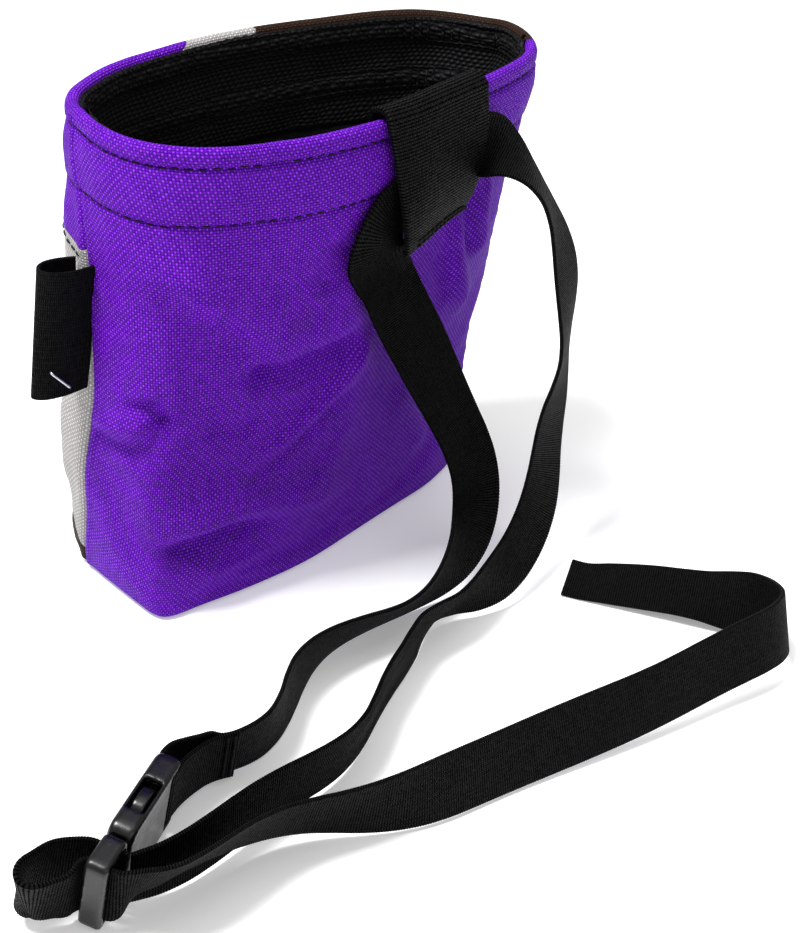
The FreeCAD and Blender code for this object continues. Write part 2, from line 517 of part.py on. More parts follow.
TAIL_RUN = [
    (-135.15, -125.97, 11.99, 0.075, -0.119, 0.990), (-136.04, -124.51, 12.24, 0.074, -0.119, 0.990),
    (-136.97, -123.09, 12.48, 0.075, -0.119, 0.990), (-137.89, -121.65, 12.72, 0.075, -0.119, 0.990),
    (-138.73, -120.16, 12.96, 0.073, -0.120, 0.990), (-139.55, -118.66, 13.20, 0.064, -0.126, 0.990),
    (-140.53, -117.28, 13.45, 0.047, -0.142, 0.989), (-141.73, -116.05, 13.68, 0.028, -0.170, 0.985),
    (-143.09, -114.99, 13.91, 0.017, -0.199, 0.980), (-144.55, -114.07, 14.13, 0.017, -0.221, 0.975),
    (-146.11, -113.34, 14.34, 0.027, -0.235, 0.972), (-147.74, -112.83, 14.52, 0.043, -0.243, 0.969),
    (-149.43, -112.55, 14.68, 0.060, -0.249, 0.967), (-151.15, -112.49, 14.82, 0.076, -0.256, 0.964),
    (-152.89, -112.64, 14.93, 0.093, -0.262, 0.961), (-154.62, -112.98, 15.02, 0.113, -0.256, 0.960),
    (-156.23, -113.60, 15.07, 0.128, -0.218, 0.967), (-157.62, -114.61, 15.05, 0.102, -0.146, 0.984),
    (-158.64, -116.02, 14.96, 0.007, -0.086, 0.996), (-159.16, -117.72, 14.79, -0.124, -0.097, 0.988),
    (-159.02, -119.46, 14.58, -0.198, -0.212, 0.957),
    (-158.05, -120.81, 14.34, -0.122, -0.327, 0.937),
    (-156.53, -121.69, 14.12, -0.028, -0.332, 0.943), (-154.90, -122.24, 13.93, 0.017, -0.311, 0.950),
    (-153.24, -122.60, 13.76, 0.036, -0.296, 0.955), (-151.52, -122.91, 13.59, 0.049, -0.279, 0.959),
    (-149.79, -123.08, 13.44, 0.079, -0.225, 0.971), (-148.15, -122.74, 13.36, 0.084, -0.151, 0.985),
    (-146.53, -122.13, 13.31, 0.075, -0.122, 0.990), (-144.78, -122.13, 13.18, 0.075, -0.117, 0.990),
    (-143.59, -123.34, 13.08, 0.073, -0.119, 0.990), (-142.70, -124.90, 12.99, 0.074, -0.118, 0.990),
    (-141.88, -126.49, 12.97, 0.076, -0.124, 0.989), (-141.18, -128.28, 12.99, 0.080, -0.118, 0.990),
    (-140.31, -129.80, 13.25, 0.036, -0.114, 0.993), (-139.19, -130.85, 13.73, -0.008, -0.165, 0.986),
    (-137.82, -131.46, 14.48, -0.016, -0.257, 0.966), (-136.36, -131.93, 15.43, -0.003, -0.348, 0.938),
    (-134.95, -132.57, 16.47, -0.007, -0.421, 0.907), (-133.58, -133.35, 17.31, -0.033, -0.468, 0.883),
    (-132.12, -134.01, 17.66, -0.059, -0.491, 0.869), (-130.55, -134.50, 17.69, -0.069, -0.505, 0.861),
    (-128.95, -134.88, 17.72, -0.064, -0.518, 0.853), (-127.34, -135.18, 17.84, -0.056, -0.531, 0.846),
    (-125.72, -135.40, 18.01, -0.053, -0.542, 0.839), (-123.45, -135.50, 18.13, -0.056, -0.547, 0.835),
    (-119.92, -135.46, 18.10, -0.059, -0.539, 0.840), (-111.27, -134.78, 17.28, -0.064, -0.487, 0.871),
    (-102.24, -134.01, 15.72, -0.066, -0.415, 0.907), (-93.48, -134.41, 14.28, -0.062, -0.360, 0.931),
    (-85.24, -136.25, 13.06, -0.051, -0.311, 0.949), (-77.44, -139.04, 12.10, -0.021, -0.222, 0.975),
    (-69.74, -141.97, 11.43, 0.020, -0.089, 0.996), (-61.91, -144.40, 11.03, 0.050, 0.059, 0.997),
    (-53.90, -146.12, 10.76, 0.060, 0.186, 0.981), (-45.78, -147.23, 10.52, 0.054, 0.257, 0.965),
    (-37.62, -148.02, 10.33, 0.045, 0.284, 0.958), (-29.46, -148.80, 10.21, 0.038, 0.302, 0.953),
    (-21.31, -149.71, 10.21, 0.031, 0.322, 0.946), (-13.18, -150.78, 10.36, 0.021, 0.343, 0.939),
    (-5.07, -151.97, 10.67, 0.011, 0.360, 0.933), (3.01, -153.26, 11.13, 0.000, 0.367, 0.930),
    (11.07, -154.66, 11.72, -0.011, 0.363, 0.932), (19.12, -156.02, 12.41, -0.028, 0.351, 0.936),
    (27.21, -157.14, 13.14, -0.045, 0.342, 0.939), (35.33, -158.02, 13.90, -0.055, 0.344, 0.938),
    (43.45, -158.82, 14.70, -0.058, 0.351, 0.935), (51.56, -159.72, 15.52, -0.051, 0.360, 0.932),
    (59.66, -160.71, 16.29, -0.033, 0.367, 0.930), (67.81, -161.44, 16.75, -0.006, 0.368, 0.930),
    (75.93, -160.89, 16.48, 0.016, 0.364, 0.931), (83.15, -157.63, 15.05, 0.033, 0.351, 0.936),
    (87.56, -151.45, 12.53, 0.063, 0.346, 0.936), (88.15, -143.93, 9.73, 0.281, 0.344, 0.896),
    (85.61, -136.49, 7.65, 0.628, 0.437, 0.644), (81.66, -129.40, 6.51, 0.780, 0.518, 0.351),
    (77.28, -122.52, 5.68, 0.801, 0.552, 0.231), (72.79, -115.73, 4.70, 0.801, 0.566, 0.194),
    (68.28, -108.99, 3.48, 0.807, 0.571, 0.150), (63.78, -102.28, 2.09, 0.820, 0.567, 0.079),
    (59.28, -95.59, 0.61, 0.830, 0.557, 0.000), (56.26, -91.10, 0.66, 0.830, 0.557, 0.000),
]
# Folded end around the bar of the socket: buckle coordinates (along, across thickness)
FOLD = [
    (61.6, -12.0), (60.3, -10.75), (57.8, -8.55), (55.0, -6.6), (51.0, -4.9), (47.5, -3.8),
    (44.0, -3.1), (41.0, -2.85), (38.7, -2.7), (37.5, -1.7), (37.3, 0.0), (37.5, 1.7),
    (38.7, 2.7), (41.0, 2.85), (44.0, 2.9), (47.5, 2.1), (51.0, -0.4), (54.5, -3.4), (57.0, -5.5),
]
FOLD_LEAN = -0.10       # tilt along the buckle per unit of width, away from the bar

fold_rows = []
for i, (x, y) in enumerate(FOLD):
    # the free end sags a little, up to row 8 where it reaches the bar
    sag = 0.35 * min(1.0, max(0.0, (8 - i) / 5.0))
    lean = FOLD_LEAN * max(0.0, min(1.0, (x - 44.0) / 14.0))
    fold_rows.append(tuple(buckle_point(x, y, BUCKLE_MID - sag))
                     + tuple(unit(buckle_wide + buckle_along * lean)))
socket_run = band(fold_rows + SOCKET_RUN, BELT_W, WEBBING_T)
save(socket_run, "belt_webbing_socket_run")

# the other run starts 0.4 mm on, so the two ends stay apart
run_start = V(*PLUG_RUN[0][:3])
run_start = run_start + unit(V(*PLUG_RUN[1][:3]) - run_start) * 0.4
plug_rows = [tuple(run_start) + PLUG_RUN[0][3:]] + PLUG_RUN[1:]
save(band(plug_rows, BELT_W, WEBBING_T).cut(belt_loop), "belt_webbing_plug_run")

tail = band(TAIL_RUN, BELT_W, WEBBING_T)
save(tail, "belt_tail")

# tack that closes the fold at the socket: thread bars on the outer face
TACK_Z0, TACK_Z1 = 3.2, 20.4
tack_lean = buckle_along * (FOLD_LEAN * (TACK_Z1 - TACK_Z0) / 2)
tack_bars = []
for x, y in ((58.15, -10.3), (59.85, -11.85)):
    low = buckle_point(x, y, TACK_Z0)
    high = buckle_point(x, y, TACK_Z1)
    bar = cord([low - tack_lean, (low + high) * 0.5, high + tack_lean], 0.35)
    tack_bars.append(bar.cut(socket_run))
save(Part.makeCompound(tack_bars), "belt_bar_tack")

# ---------------------------------------------------------------------------
# Side-release buckle, in its own frame: X along, Y thickness, Z width
# ---------------------------------------------------------------------------
HALF_T = BUCKLE_T / 2.0
INSERT_HALF_T = 1.7     # guide and spring arms
SLOT_MARGIN = 1.6       # frame beside the webbing slots
CUT_Y = 9.0             # cutters reach this far from the middle of the thickness


def block(x0, x1, y0, y1, z0, z1):
    return Part.makeBox(x1 - x0, y1 - y0, z1 - z0, V(x0, y0, z0))


def soften(shape, radius, pick):
    """fillet the picked edges"""
    edges = [edge for edge in shape.Edges if pick(edge)]
    # guards against a fillet that fails: the shape then stays sharp
    try:
        filleted = shape.makeFillet(radius, edges)
        if filleted.isValid() and filleted.Volume > 0:
            return filleted
    except Exception:
        pass
    return shape


def spans_y(edge, length):
    return abs(edge.Vertexes[0].Y - edge.Vertexes[1].Y) > length


def rounded_plate(x0, x1, half_t, corner_r, face_r):
    plate = block(x0, x1, -half_t, half_t, 0.0, BUCKLE_W)
    plate = soften(plate, corner_r, lambda edge: spans_y(edge, half_t))
    return soften(plate, face_r,
                  lambda edge: min(abs(v.Y) for v in edge.Vertexes) > half_t - 0.01)


def slot(x0, x1):
    cutter = block(x0, x1, -CUT_Y, CUT_Y, SLOT_MARGIN, BUCKLE_W - SLOT_MARGIN)
    return soften(cutter, 0.9, lambda edge: spans_y(edge, 5))


def thin_bar(body, x0, x1, half_t, margin):
    """cut both faces down to half_t between x0 and x1"""
    z0, z1 = margin, BUCKLE_W - margin
    body = body.cut(block(x0, x1, half_t, CUT_Y, z0, z1))
    return body.cut(block(x0, x1, -CUT_Y, -half_t, z0, z1))


def buckle_socket():
    socket = rounded_plate(12.2, BUCKLE_L, HALF_T, 4.2, 1.5)
    # cavity, side windows, webbing slot
    socket = socket.cut(block(11.0, 34.0, -2.1, 2.1, 2.2, BUCKLE_W - 2.2))
    socket = socket.cut(block(20.8, 32.0, -2.6, 2.6, -1.0, BUCKLE_W + 1.0))
    socket = socket.cut(slot(35.4, 39.2))
    # the bar the webbing turns around is thinner than the body
    return thin_bar(socket, 38.9, 45.0, 1.9, 1.5)


def buckle_plug():
    """ladder frame with two slots, a thin bar between them, and the middle guide"""
    plug = rounded_plate(0.0, 11.9, HALF_T - 0.5, 2.2, 1.0)
    plug = plug.cut(slot(2.3, 4.9))
    plug = plug.cut(slot(7.9, 10.5))
    plug = thin_bar(plug, 4.0, 8.5, 1.5, SLOT_MARGIN)
    guide = block(11.5, 24.0, -INSERT_HALF_T, INSERT_HALF_T, BUCKLE_MID - 1.4, BUCKLE_MID + 1.4)
    guide = soften(guide, 0.8, lambda edge: min(v.X for v in edge.Vertexes) > 23.9)
    return plug.fuse(guide).removeSplitter()


# (x, z) along the outer and the inner side of the upper arm
ARM_OUTER = [(12.15, 19.4), (15.5, 19.9), (19.6, 20.6), (21.4, 22.0), (22.6, 23.2),
             (25.5, 23.9), (29.0, 23.2), (31.2, 20.8)]
ARM_INNER = [(30.6, 19.0), (28.0, 18.6), (24.5, 18.4), (20.0, 17.9), (16.0, 17.4),
             (12.15, 16.9)]


def spring_arm(side):
    """side is 1 for the upper arm, -1 for its mirror image"""
    curves = []
    for points in (ARM_OUTER, ARM_INNER):
        curve = Part.BSplineCurve()
        curve.interpolate(Points=[V(x, -INSERT_HALF_T, BUCKLE_MID + side * (z - BUCKLE_MID))
                                  for x, z in points])
        curves.append(curve)
    outer, inner = curves
    wire = Part.Wire([outer.toShape(), Part.makeLine(outer.EndPoint, inner.StartPoint),
                      inner.toShape(), Part.makeLine(inner.EndPoint, outer.StartPoint)])
    return Part.Face(wire).extrude(V(0, 2 * INSERT_HALF_T, 0))


save(place_buckle(buckle_socket()), "buckle_socket")
save(place_buckle(buckle_plug()).cut(tail), "buckle_plug")
save(place_buckle(spring_arm(1.0)), "release_arm_upper")
save(place_buckle(spring_arm(-1.0)), "release_arm_lower")
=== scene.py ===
"""A soft cloth pouch with a webbing belt and a moulded side-release buckle.

The pouch stands upright on z = 0, 156 mm high, with its long side on x. The violet back panel
faces -y, the three-coloured front panel +y, and the panels meet in seams at the -x and +x ends.
The belt runs behind the loop on the back panel and lies on the floor on the -y side. Shapes are
in millimetres and make_mesh turns them into metres.
"""
import math

import bmesh
import bpy
import numpy as np
from mathutils import Matrix, Vector


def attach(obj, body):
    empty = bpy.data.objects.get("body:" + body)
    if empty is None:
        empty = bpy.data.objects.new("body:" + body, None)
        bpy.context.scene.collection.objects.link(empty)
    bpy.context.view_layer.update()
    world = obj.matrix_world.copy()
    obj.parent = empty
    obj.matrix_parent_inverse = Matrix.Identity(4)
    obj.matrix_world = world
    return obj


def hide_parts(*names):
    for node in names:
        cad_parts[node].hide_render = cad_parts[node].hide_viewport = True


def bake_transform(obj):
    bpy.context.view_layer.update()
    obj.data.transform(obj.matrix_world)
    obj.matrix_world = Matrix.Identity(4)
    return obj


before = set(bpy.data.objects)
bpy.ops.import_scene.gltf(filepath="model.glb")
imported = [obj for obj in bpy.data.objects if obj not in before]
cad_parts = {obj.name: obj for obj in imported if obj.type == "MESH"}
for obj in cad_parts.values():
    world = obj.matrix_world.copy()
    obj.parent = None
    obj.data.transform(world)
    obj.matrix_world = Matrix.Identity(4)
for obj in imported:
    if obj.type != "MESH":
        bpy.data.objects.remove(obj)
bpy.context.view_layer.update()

MM = 0.001

# ------------------------------------------------------------------ dimensions of the pouch
HEIGHT = 156.0
ROLL_RADIUS = 2.1                       # rounded top edge
ROLL_Z = HEIGHT - ROLL_RADIUS
UPPER_ROW, LOWER_ROW = 150.4, 134.0     # thread rows of the rim hem
CLOTH_THICKNESS = 0.6
BACK_COLUMNS, FRONT_COLUMNS = ((300, 290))
COLUMNS = BACK_COLUMNS + FRONT_COLUMNS

# Outlines of the rim and the base: x, y, counterclockwise from the -x end, 32 matching stations
RIM = np.array([
    (-68.5, 6), (-70, -6), (-68.5, -19), (-62, -31), (-51, -39.5), (-40, -43.3), (-24, -46.2),
    (-6, -46), (10, -44.5), (25, -40.8), (40, -37), (55, -32.7), (68, -28.5), (79, -23.5),
    (88, -16), (93, -8), (95.5, 0), (95, 7), (91.5, 13), (87.5, 20), (82, 26.5), (72, 32.3),
    (53.3, 37.4), (34.7, 40.2), (15, 41.5), (0, 41.3), (-12, 39.8), (-26, 37.2), (-40.2, 33.4),
    (-53.4, 26), (-61.8, 19.5), (-66.5, 13)], float)
BASE = np.array([
    (-71.9, 5.4), (-71, -10), (-69.5, -25), (-66.2, -34.5), (-55, -36), (-42, -36.7),
    (-26, -36.9), (-10, -35.9), (6, -33), (22, -29.7), (37, -26.8), (51, -24), (61, -20.6),
    (69, -16.5), (74.5, -8.5), (77, 1), (77.5, 9), (76.5, 16), (74.5, 22.5), (70, 28),
    (62, 31.5), (50, 33.7), (34, 35), (18, 35.6), (2, 35.6), (-12, 35.2), (-24, 34.6),
    (-36, 33.3), (-46, 31.2), (-56, 26.5), (-63.5, 19.5), (-69, 12)], float)
# Profiles over the height: z, value
RIM_SHARE = [(0, 0), (12, .03), (40, .07), (56, .1), (75, .36), (105, .57), (115, .62),
             (130, .85), (145, 1), (156, 1)]
BULGE = [(0, 0), (12, 3), (40, 5.5), (60, 5), (105, 2.5), (135, 1), (156, 0)]
LEFT_SEAM_Y = [(0, 5), (2, 5), (17, -1), (32, -4.5), (45, -5), (59, -8), (75, -10),
               (117, -5.5), (122, -4), (136, 0), (156, 6)]
RIGHT_SEAM_Y = -13.0
FINE_Z = np.linspace(0, HEIGHT, 625)


# ------------------------------------------------------------------ small maths
def unit(vectors):
    return vectors / np.maximum(np.linalg.norm(vectors, axis=-1, keepdims=True), 1e-12)


def run_length(points):
    """distance walked along a polyline at each of its points"""
    return np.r_[0, np.cumsum(np.linalg.norm(np.diff(points, axis=0), axis=1))]


def smoothstep(x):
    x = np.clip(x, 0, 1)
    return x * x * (3 - 2 * x)


def noise2(x, y, seed):
    """smooth value noise, -1 to 1; x and y broadcast"""
    table = np.random.RandomState(seed).rand(64, 64) * 2 - 1
    xi, yi = np.floor(x).astype(int), np.floor(y).astype(int)
    fx, fy = x - xi, y - yi
    fx, fy = fx * fx * (3 - 2 * fx), fy * fy * (3 - 2 * fy)
    low = table[xi % 64, yi % 64] * (1 - fx) + table[(xi + 1) % 64, yi % 64] * fx
    high = table[xi % 64, (yi + 1) % 64] * (1 - fx) + table[(xi + 1) % 64, (yi + 1) % 64] * fx
    return low * (1 - fy) + high * fy


def hermite(knots, points, t):
    """smooth curve through points at knots, sampled at t; a point may be a whole row"""
    shape = points.shape
    flat = points.reshape(len(knots), -1)
    slope = np.gradient(flat, knots, axis=0)
    k = np.clip(np.searchsorted(knots, t) - 1, 0, len(knots) - 2)
    h = (knots[k + 1] - knots[k])[:, None]
    x = (t - knots[k])[:, None] / h
    curve = ((2 * x ** 3 - 3 * x ** 2 + 1) * flat[k] + (x ** 3 - 2 * x ** 2 + x) * h * slope[k]
             + (-2 * x ** 3 + 3 * x ** 2) * flat[k + 1] + (x ** 3 - x ** 2) * h * slope[k + 1])
    return curve.reshape((len(t),) + shape[1:])


def closed_spline(points, u):
    """cubic B-spline that passes through a closed ring of points; u counts stations"""
    n = len(points)
    angle = np.fft.fftfreq(n) * 2 * np.pi
    spectrum = np.fft.fft(points, axis=0) / ((2 + np.cos(angle)) / 3)[:, None]
    control = np.real(np.fft.ifft(spectrum, axis=0))
    i = np.floor(u).astype(int)
    f = (u - i)[:, None]
    return ((1 - f) ** 3 / 6 * control[(i - 1) % n]
            + (3 * f ** 3 - 6 * f ** 2 + 4) / 6 * control[i % n]
            + (-3 * f ** 3 + 3 * f ** 2 + 3 * f + 1) / 6 * control[(i + 1) % n]
            + f ** 3 / 6 * control[(i + 2) % n])


# ------------------------------------------------------------------ plain body of the pouch
def smooth_profile(table, sigma):
    """a profile sampled at FINE_Z and blurred; both end values stay"""
    heights, given = np.transpose(table)
    values = np.interp(FINE_Z, heights, given)
    step = FINE_Z[1] - FINE_Z[0]
    reach = int(sigma * 4 / step)
    kernel = np.exp(-0.5 * (np.arange(-reach, reach + 1) * step / sigma) ** 2)
    kernel /= kernel.sum()
    below = 2 * values[0] - values[reach:0:-1]
    above = 2 * values[-1] - values[-2:-reach - 2:-1]
    return np.convolve(np.r_[below, values, above], kernel, "valid")


FINE_SHARE = smooth_profile(RIM_SHARE, sigma=5.0)
FINE_BULGE = smooth_profile(BULGE, sigma=5.0)
FINE_SEAM_Y = smooth_profile(LEFT_SEAM_Y, sigma=4.0)


def stations(z):
    """the 32 outline stations at a height"""
    share = np.interp(z, FINE_Z, FINE_SHARE)
    outline = BASE * (1 - share) + RIM * share
    x, y = outline.T
    # the -x end bulges outwards
    x -= (np.interp(z, FINE_Z, FINE_BULGE)
          * np.exp(-((x + 72) / 22) ** 2) * np.clip((y + 38) / 20, 0, 1))
    # the back panel swells a little below the rim
    swell = 2.5 * np.exp(-((z - 128) / 16) ** 2)
    y -= swell * np.exp(-((x + 8) / 30) ** 2) * (y < -20)
    return outline


def crossing(z, guess, target_y):
    """station parameter near guess where the outline meets y = target_y"""
    u = np.linspace(guess - 1.6, guess + 1.6, 321)
    y = closed_spline(stations(z), u)[:, 1] - target_y
    hits = np.where(np.sign(y[:-1]) != np.sign(y[1:]))[0]
    if len(hits) == 0:
        return guess
    i = hits[np.argmin(abs(u[hits] - guess))]
    return u[i] + (u[i + 1] - u[i]) * y[i] / (y[i] - y[i + 1])


REFERENCE_Z = 100.0     # height where columns are spaced evenly and cloth length is measured


def even_shares(count, start, end):
    """shares of a stretch of outline that walk evenly along it"""
    u = np.linspace(start, end, 800)
    length = run_length(closed_spline(stations(REFERENCE_Z), u))
    return (np.interp(np.linspace(0, length[-1], count), length, u) - start) / (end - start)


def running_mean(values):
    return np.convolve(np.pad(values, 4, "edge"), np.ones(9) / 9, "valid")


BACK_SHARES = even_shares(BACK_COLUMNS + 1, 0.6, 15.0)[:-1]
FRONT_SHARES = even_shares(FRONT_COLUMNS + 1, 15.0, 32.6)[:-1]
SEAM_Z = np.linspace(0, HEIGHT, 158)
LEFT_SEAM = running_mean([crossing(z, 0.3, np.interp(z, FINE_Z, FINE_SEAM_Y)) for z in SEAM_Z])
RIGHT_SEAM = running_mean([crossing(z, 14.5, RIGHT_SEAM_Y) for z in SEAM_Z])


def plain_ring(z):
    """one point per column; column 0 is the -x seam and BACK_COLUMNS the +x seam"""
    left, right = np.interp(z, SEAM_Z, LEFT_SEAM), np.interp(z, SEAM_Z, RIGHT_SEAM)
    u = np.r_[left + (right - left) * BACK_SHARES,
              right + (left + len(RIM) - right) * FRONT_SHARES]
    return closed_spline(stations(z), u)


def cloth_rows():
    """rows of the outer cloth (height, inward offset), and the heights of the plain wall rows"""
    wall = np.r_[np.linspace(2.2, 130, 230), np.linspace(130.4, ROLL_Z, 74)]
    turned_base = [(0.12, 5.0), (0.1, 3.2), (0.12, 2.2), (0.35, 1.15), (0.9, 0.45), (1.5, 0.12)]
    roll = [(ROLL_Z + ROLL_RADIUS * math.sin(a), ROLL_RADIUS - ROLL_RADIUS * math.cos(a))
            for a in (math.pi * k / 12 for k in range(1, 13))]
    inside_rim = [(153.0, 4.3), (151.5, 4.35), (149.5, 4.3), (147.0, 4.2)]
    rows = turned_base + [(z, 0.0) for z in wall] + roll + inside_rim
    return np.array(rows), wall, len(turned_base)


ROWS, WALL_Z, FIRST_WALL_ROW = cloth_rows()
WALL_ROWS = np.arange(FIRST_WALL_ROW, FIRST_WALL_ROW + len(WALL_Z))
reference_ring = plain_ring(REFERENCE_Z)
reference_length = run_length(np.vstack([reference_ring, reference_ring[:1]]))
PERIMETER = reference_length[-1]
CLOTH_S = reference_length[:-1]         # distance round the pouch of each column
COLUMN_STEP = PERIMETER / COLUMNS

# ------------------------------------------------------------------ folds, seams and hem
# Folds of the back panel: height (negative sinks), width on the left and on the right of the
# path, share of its length that tapers at each end, path (x, z)
BROAD_FOLD_GAIN = 1.75
BROAD_FOLDS = [
    (2.2, 9, 6, .25, [(-72, 122), (-58, 113), (-36, 99), (-20, 90)]),
    (-1.6, 6, 8, .25, [(-70, 115), (-56, 105), (-38, 93), (-26, 86)]),
    (1.4, 7, 5, .25, [(-52, 92), (-30, 90), (-6, 92), (10, 96)]),
    (-2.3, 3.2, 5, .2, [(-44, 80), (-34, 83), (-16, 83.5), (4, 85)]),
    (2.4, 7, 3.6, .25, [(12, 88), (0, 75), (-18, 62), (-42, 47)]),
    (-1.5, 4.5, 7, .25, [(4, 68), (-10, 59), (-26, 52), (-42, 44)]),
    (-1.1, 3.5, 4.5, .25, [(-54, 70), (-44, 66.5), (-32, 67)]),
    (-1.6, 3, 3.6, .25, [(-70, 80), (-67, 76), (-65, 70)]),
    (-1.5, 2.8, 4.2, .25, [(-77, 57), (-72, 62), (-66, 70), (-60, 74)]),
    (1, 3, 2.5, .25, [(-78, 64), (-72, 68), (-68, 75)]),
    (2.6, 9, 4.5, .25, [(-72, 31), (-56, 34), (-38, 36), (-14, 31), (10, 24)]),
    (-2, 5, 7, .25, [(-74, 22), (-60, 26), (-44, 28), (-20, 24)]),
    (-1.6, 7, 7, .25, [(-8, 124), (-12, 114), (-16, 104)]),
    (1.8, 5, 4, .25, [(44, 116), (46, 104), (50, 90), (60, 70)]),
    (-1.5, 3.4, 4, .25, [(51, 122), (53, 106), (57, 92)]),
    (1.3, 3.5, 4, .25, [(60, 124), (61, 106), (64, 88)]),
    (-1, 4, 5, .25, [(36, 104), (42, 92), (46, 78)]),
    (1.1, 6, 6, .25, [(24, 58), (36, 40), (46, 20)]),
    (-1, 5, 6, .25, [(34, 62), (46, 42), (56, 22)]),
]
CREASES = [
    (-1.3, 1.8, 3, .2, [(-40, 84), (-24, 85.5), (-6, 86)]),
    (-1.2, 2.2, 3.2, .2, [(-2, 66), (-16, 56), (-32, 48)]),
    (-1.4, 2.2, 3.2, .2, [(-68, 24), (-50, 27), (-30, 27)]),
    (-1, 2.6, 3.4, .2, [(-68, 118), (-54, 108), (-38, 97)]),
]


def fold(x, z, height, left_width, right_width, taper, path):
    """offset made by one fold; the nearest leg of the path counts"""
    path = np.array(path, float)
    lengths = np.linalg.norm(np.diff(path, axis=0), axis=1)
    total = lengths.sum()
    done = 0.0
    nearest = np.full(x.shape, 1e9)
    offset = np.zeros_like(x)
    for start, end, length in zip(path[:-1], path[1:], lengths):
        way = (end - start) / length
        t = np.clip((x - start[0]) * way[0] + (z - start[1]) * way[1], 0, length)
        dx, dz = x - start[0] - way[0] * t, z - start[1] - way[1] * t
        distance = np.hypot(dx, dz)
        width = np.where(dz * way[0] - dx * way[1] > 0, left_width, right_width)
        s = (done + t) / total
        strength = smoothstep(s / taper) * smoothstep((1 - s) / taper)
        value = height * strength * np.exp(-(distance / width) ** 2)
        closer = distance < nearest
        offset = np.where(closer, value, offset)
        nearest = np.where(closer, distance, nearest)
        done += length
    return offset


def end_fade(z):
    """folds die out at the base and under the hem"""
    return smoothstep((z - 3) / 10) * smoothstep((133 - z) / 9)


def back_folds(x, z):
    offset = np.zeros_like(x)
    for row in BROAD_FOLDS:
        offset += fold(x, z, *row)
    offset *= BROAD_FOLD_GAIN
    for row in CREASES:
        offset += fold(x, z, *row)
    offset += 0.40 * noise2(x / 11 + 3.1, z / 11 + 1.7, 3) + 0.16 * noise2(x / 4.5 + 8, z / 4.5, 5)
    return offset * end_fade(z)


def front_folds(s, z):
    offset = (1.2 * noise2(s / 26 + 4, z / 30 + 2, 11) + 0.5 * noise2(s / 9 + 9, z / 12 + 5, 12)
              + 0.15 * noise2(s / 4, z / 4, 13))
    # slanting waves round the middle of the panel
    offset += 0.7 * np.sin((s * 0.55 + z * 0.45) / 11.0) * np.exp(-((z - 62) / 34) ** 2)
    return offset * end_fade(z)


def hem(z):
    """the padded hem: proud between the two thread rows, pinched at each row"""
    across_hem = np.clip((z - LOWER_ROW) / (UPPER_ROW - LOWER_ROW), 0, 1)
    offset = 0.9 * np.clip(np.sin(across_hem * math.pi), 0, 1) ** 0.6
    offset -= (0.75 * np.exp(-((z - LOWER_ROW) / 1.0) ** 2)
               + 0.7 * np.exp(-((z - UPPER_ROW) / 0.9) ** 2))
    return offset + 0.5 * smoothstep((z - UPPER_ROW) / 2.0)


def hem_drift(s):
    """how far the thread rows wander up and down"""
    return 0.7 * noise2(s / 30, 0.5, 21)


def seam_grooves(z):
    """a groove at each side seam, with puckered cloth beside it"""
    column = np.arange(COLUMNS)
    offset = np.zeros(COLUMNS)
    for seam in (0, BACK_COLUMNS):
        gap = abs(column - seam)
        gap = np.minimum(gap, COLUMNS - gap) * COLUMN_STEP
        pucker = (0.25 * math.sin(z * 2 * math.pi / 7.3 + seam)
                  + 0.15 * math.sin(z * 2 * math.pi / 3.9))
        offset -= (0.9 + pucker * 0.4) * np.exp(-(gap / 0.8) ** 2)
        offset += 0.35 * np.exp(-((gap - 2.6) / 1.6) ** 2) * (1 + pucker)
    return offset


def seam_distance(columns):
    nearest = np.minimum(np.minimum(columns, abs(columns - BACK_COLUMNS)), COLUMNS - columns)
    return nearest * COLUMN_STEP


def outer_ring(z, inset):
    """one row of the outer cloth with its folds and seams"""
    ring = plain_ring(z)
    tangent = unit(np.roll(ring, -1, 0) - np.roll(ring, 1, 0))
    outward = np.stack([tangent[:, 1], -tangent[:, 0]], 1)
    offset = np.r_[back_folds(ring[:BACK_COLUMNS, 0], z), front_folds(CLOTH_S[BACK_COLUMNS:], z)]
    # folds fade toward the seams so both panels meet
    offset *= smoothstep(seam_distance(np.arange(COLUMNS)) / 6.0)
    if z < ROLL_Z and inset < 1:
        offset += seam_grooves(z)
    if inset < 1:
        drifted = z + hem_drift(CLOTH_S) * smoothstep((z - 126) / 4)
        offset += hem(drifted)
        if z > 128:
            # the thread gathers the cloth once per stitch
            near_rows = (np.exp(-((drifted - LOWER_ROW) / 1.6) ** 2)
                         + np.exp(-((drifted - UPPER_ROW) / 1.4) ** 2))
            offset += 0.12 * np.sin(CLOTH_S * 2 * math.pi / 3.4) * near_rows
            offset += 0.18 * noise2(CLOTH_S / 6, z / 6, 23)
    elif z > 100:
        offset += 0.6 + 0.15 * noise2(CLOTH_S / 6, 25.0, 23)
    wavy_z = z + 0.25 * noise2(CLOTH_S / 25, 3.3, 27) * smoothstep((z - 140) / 10)
    return np.c_[ring + outward * (offset - inset)[:, None], wavy_z]


# ------------------------------------------------------------------ cloth simulation of the wall
SIM_SCALE = 0.01        # simulation units per mm
SIM_FRAMES = 30
MAX_SAG = 1.7           # mm


def hold_weights(grid, columns):
    """1 where the wall is held: hem, base and side seams"""
    z = grid[:, :, 2]
    weights = np.maximum(np.clip((z - 128) / 5, 0, 1), np.clip((5 - z) / 3, 0, 1))
    return np.maximum(weights, np.clip((6.0 - seam_distance(columns)) / 3.0, 0, 1)[None])


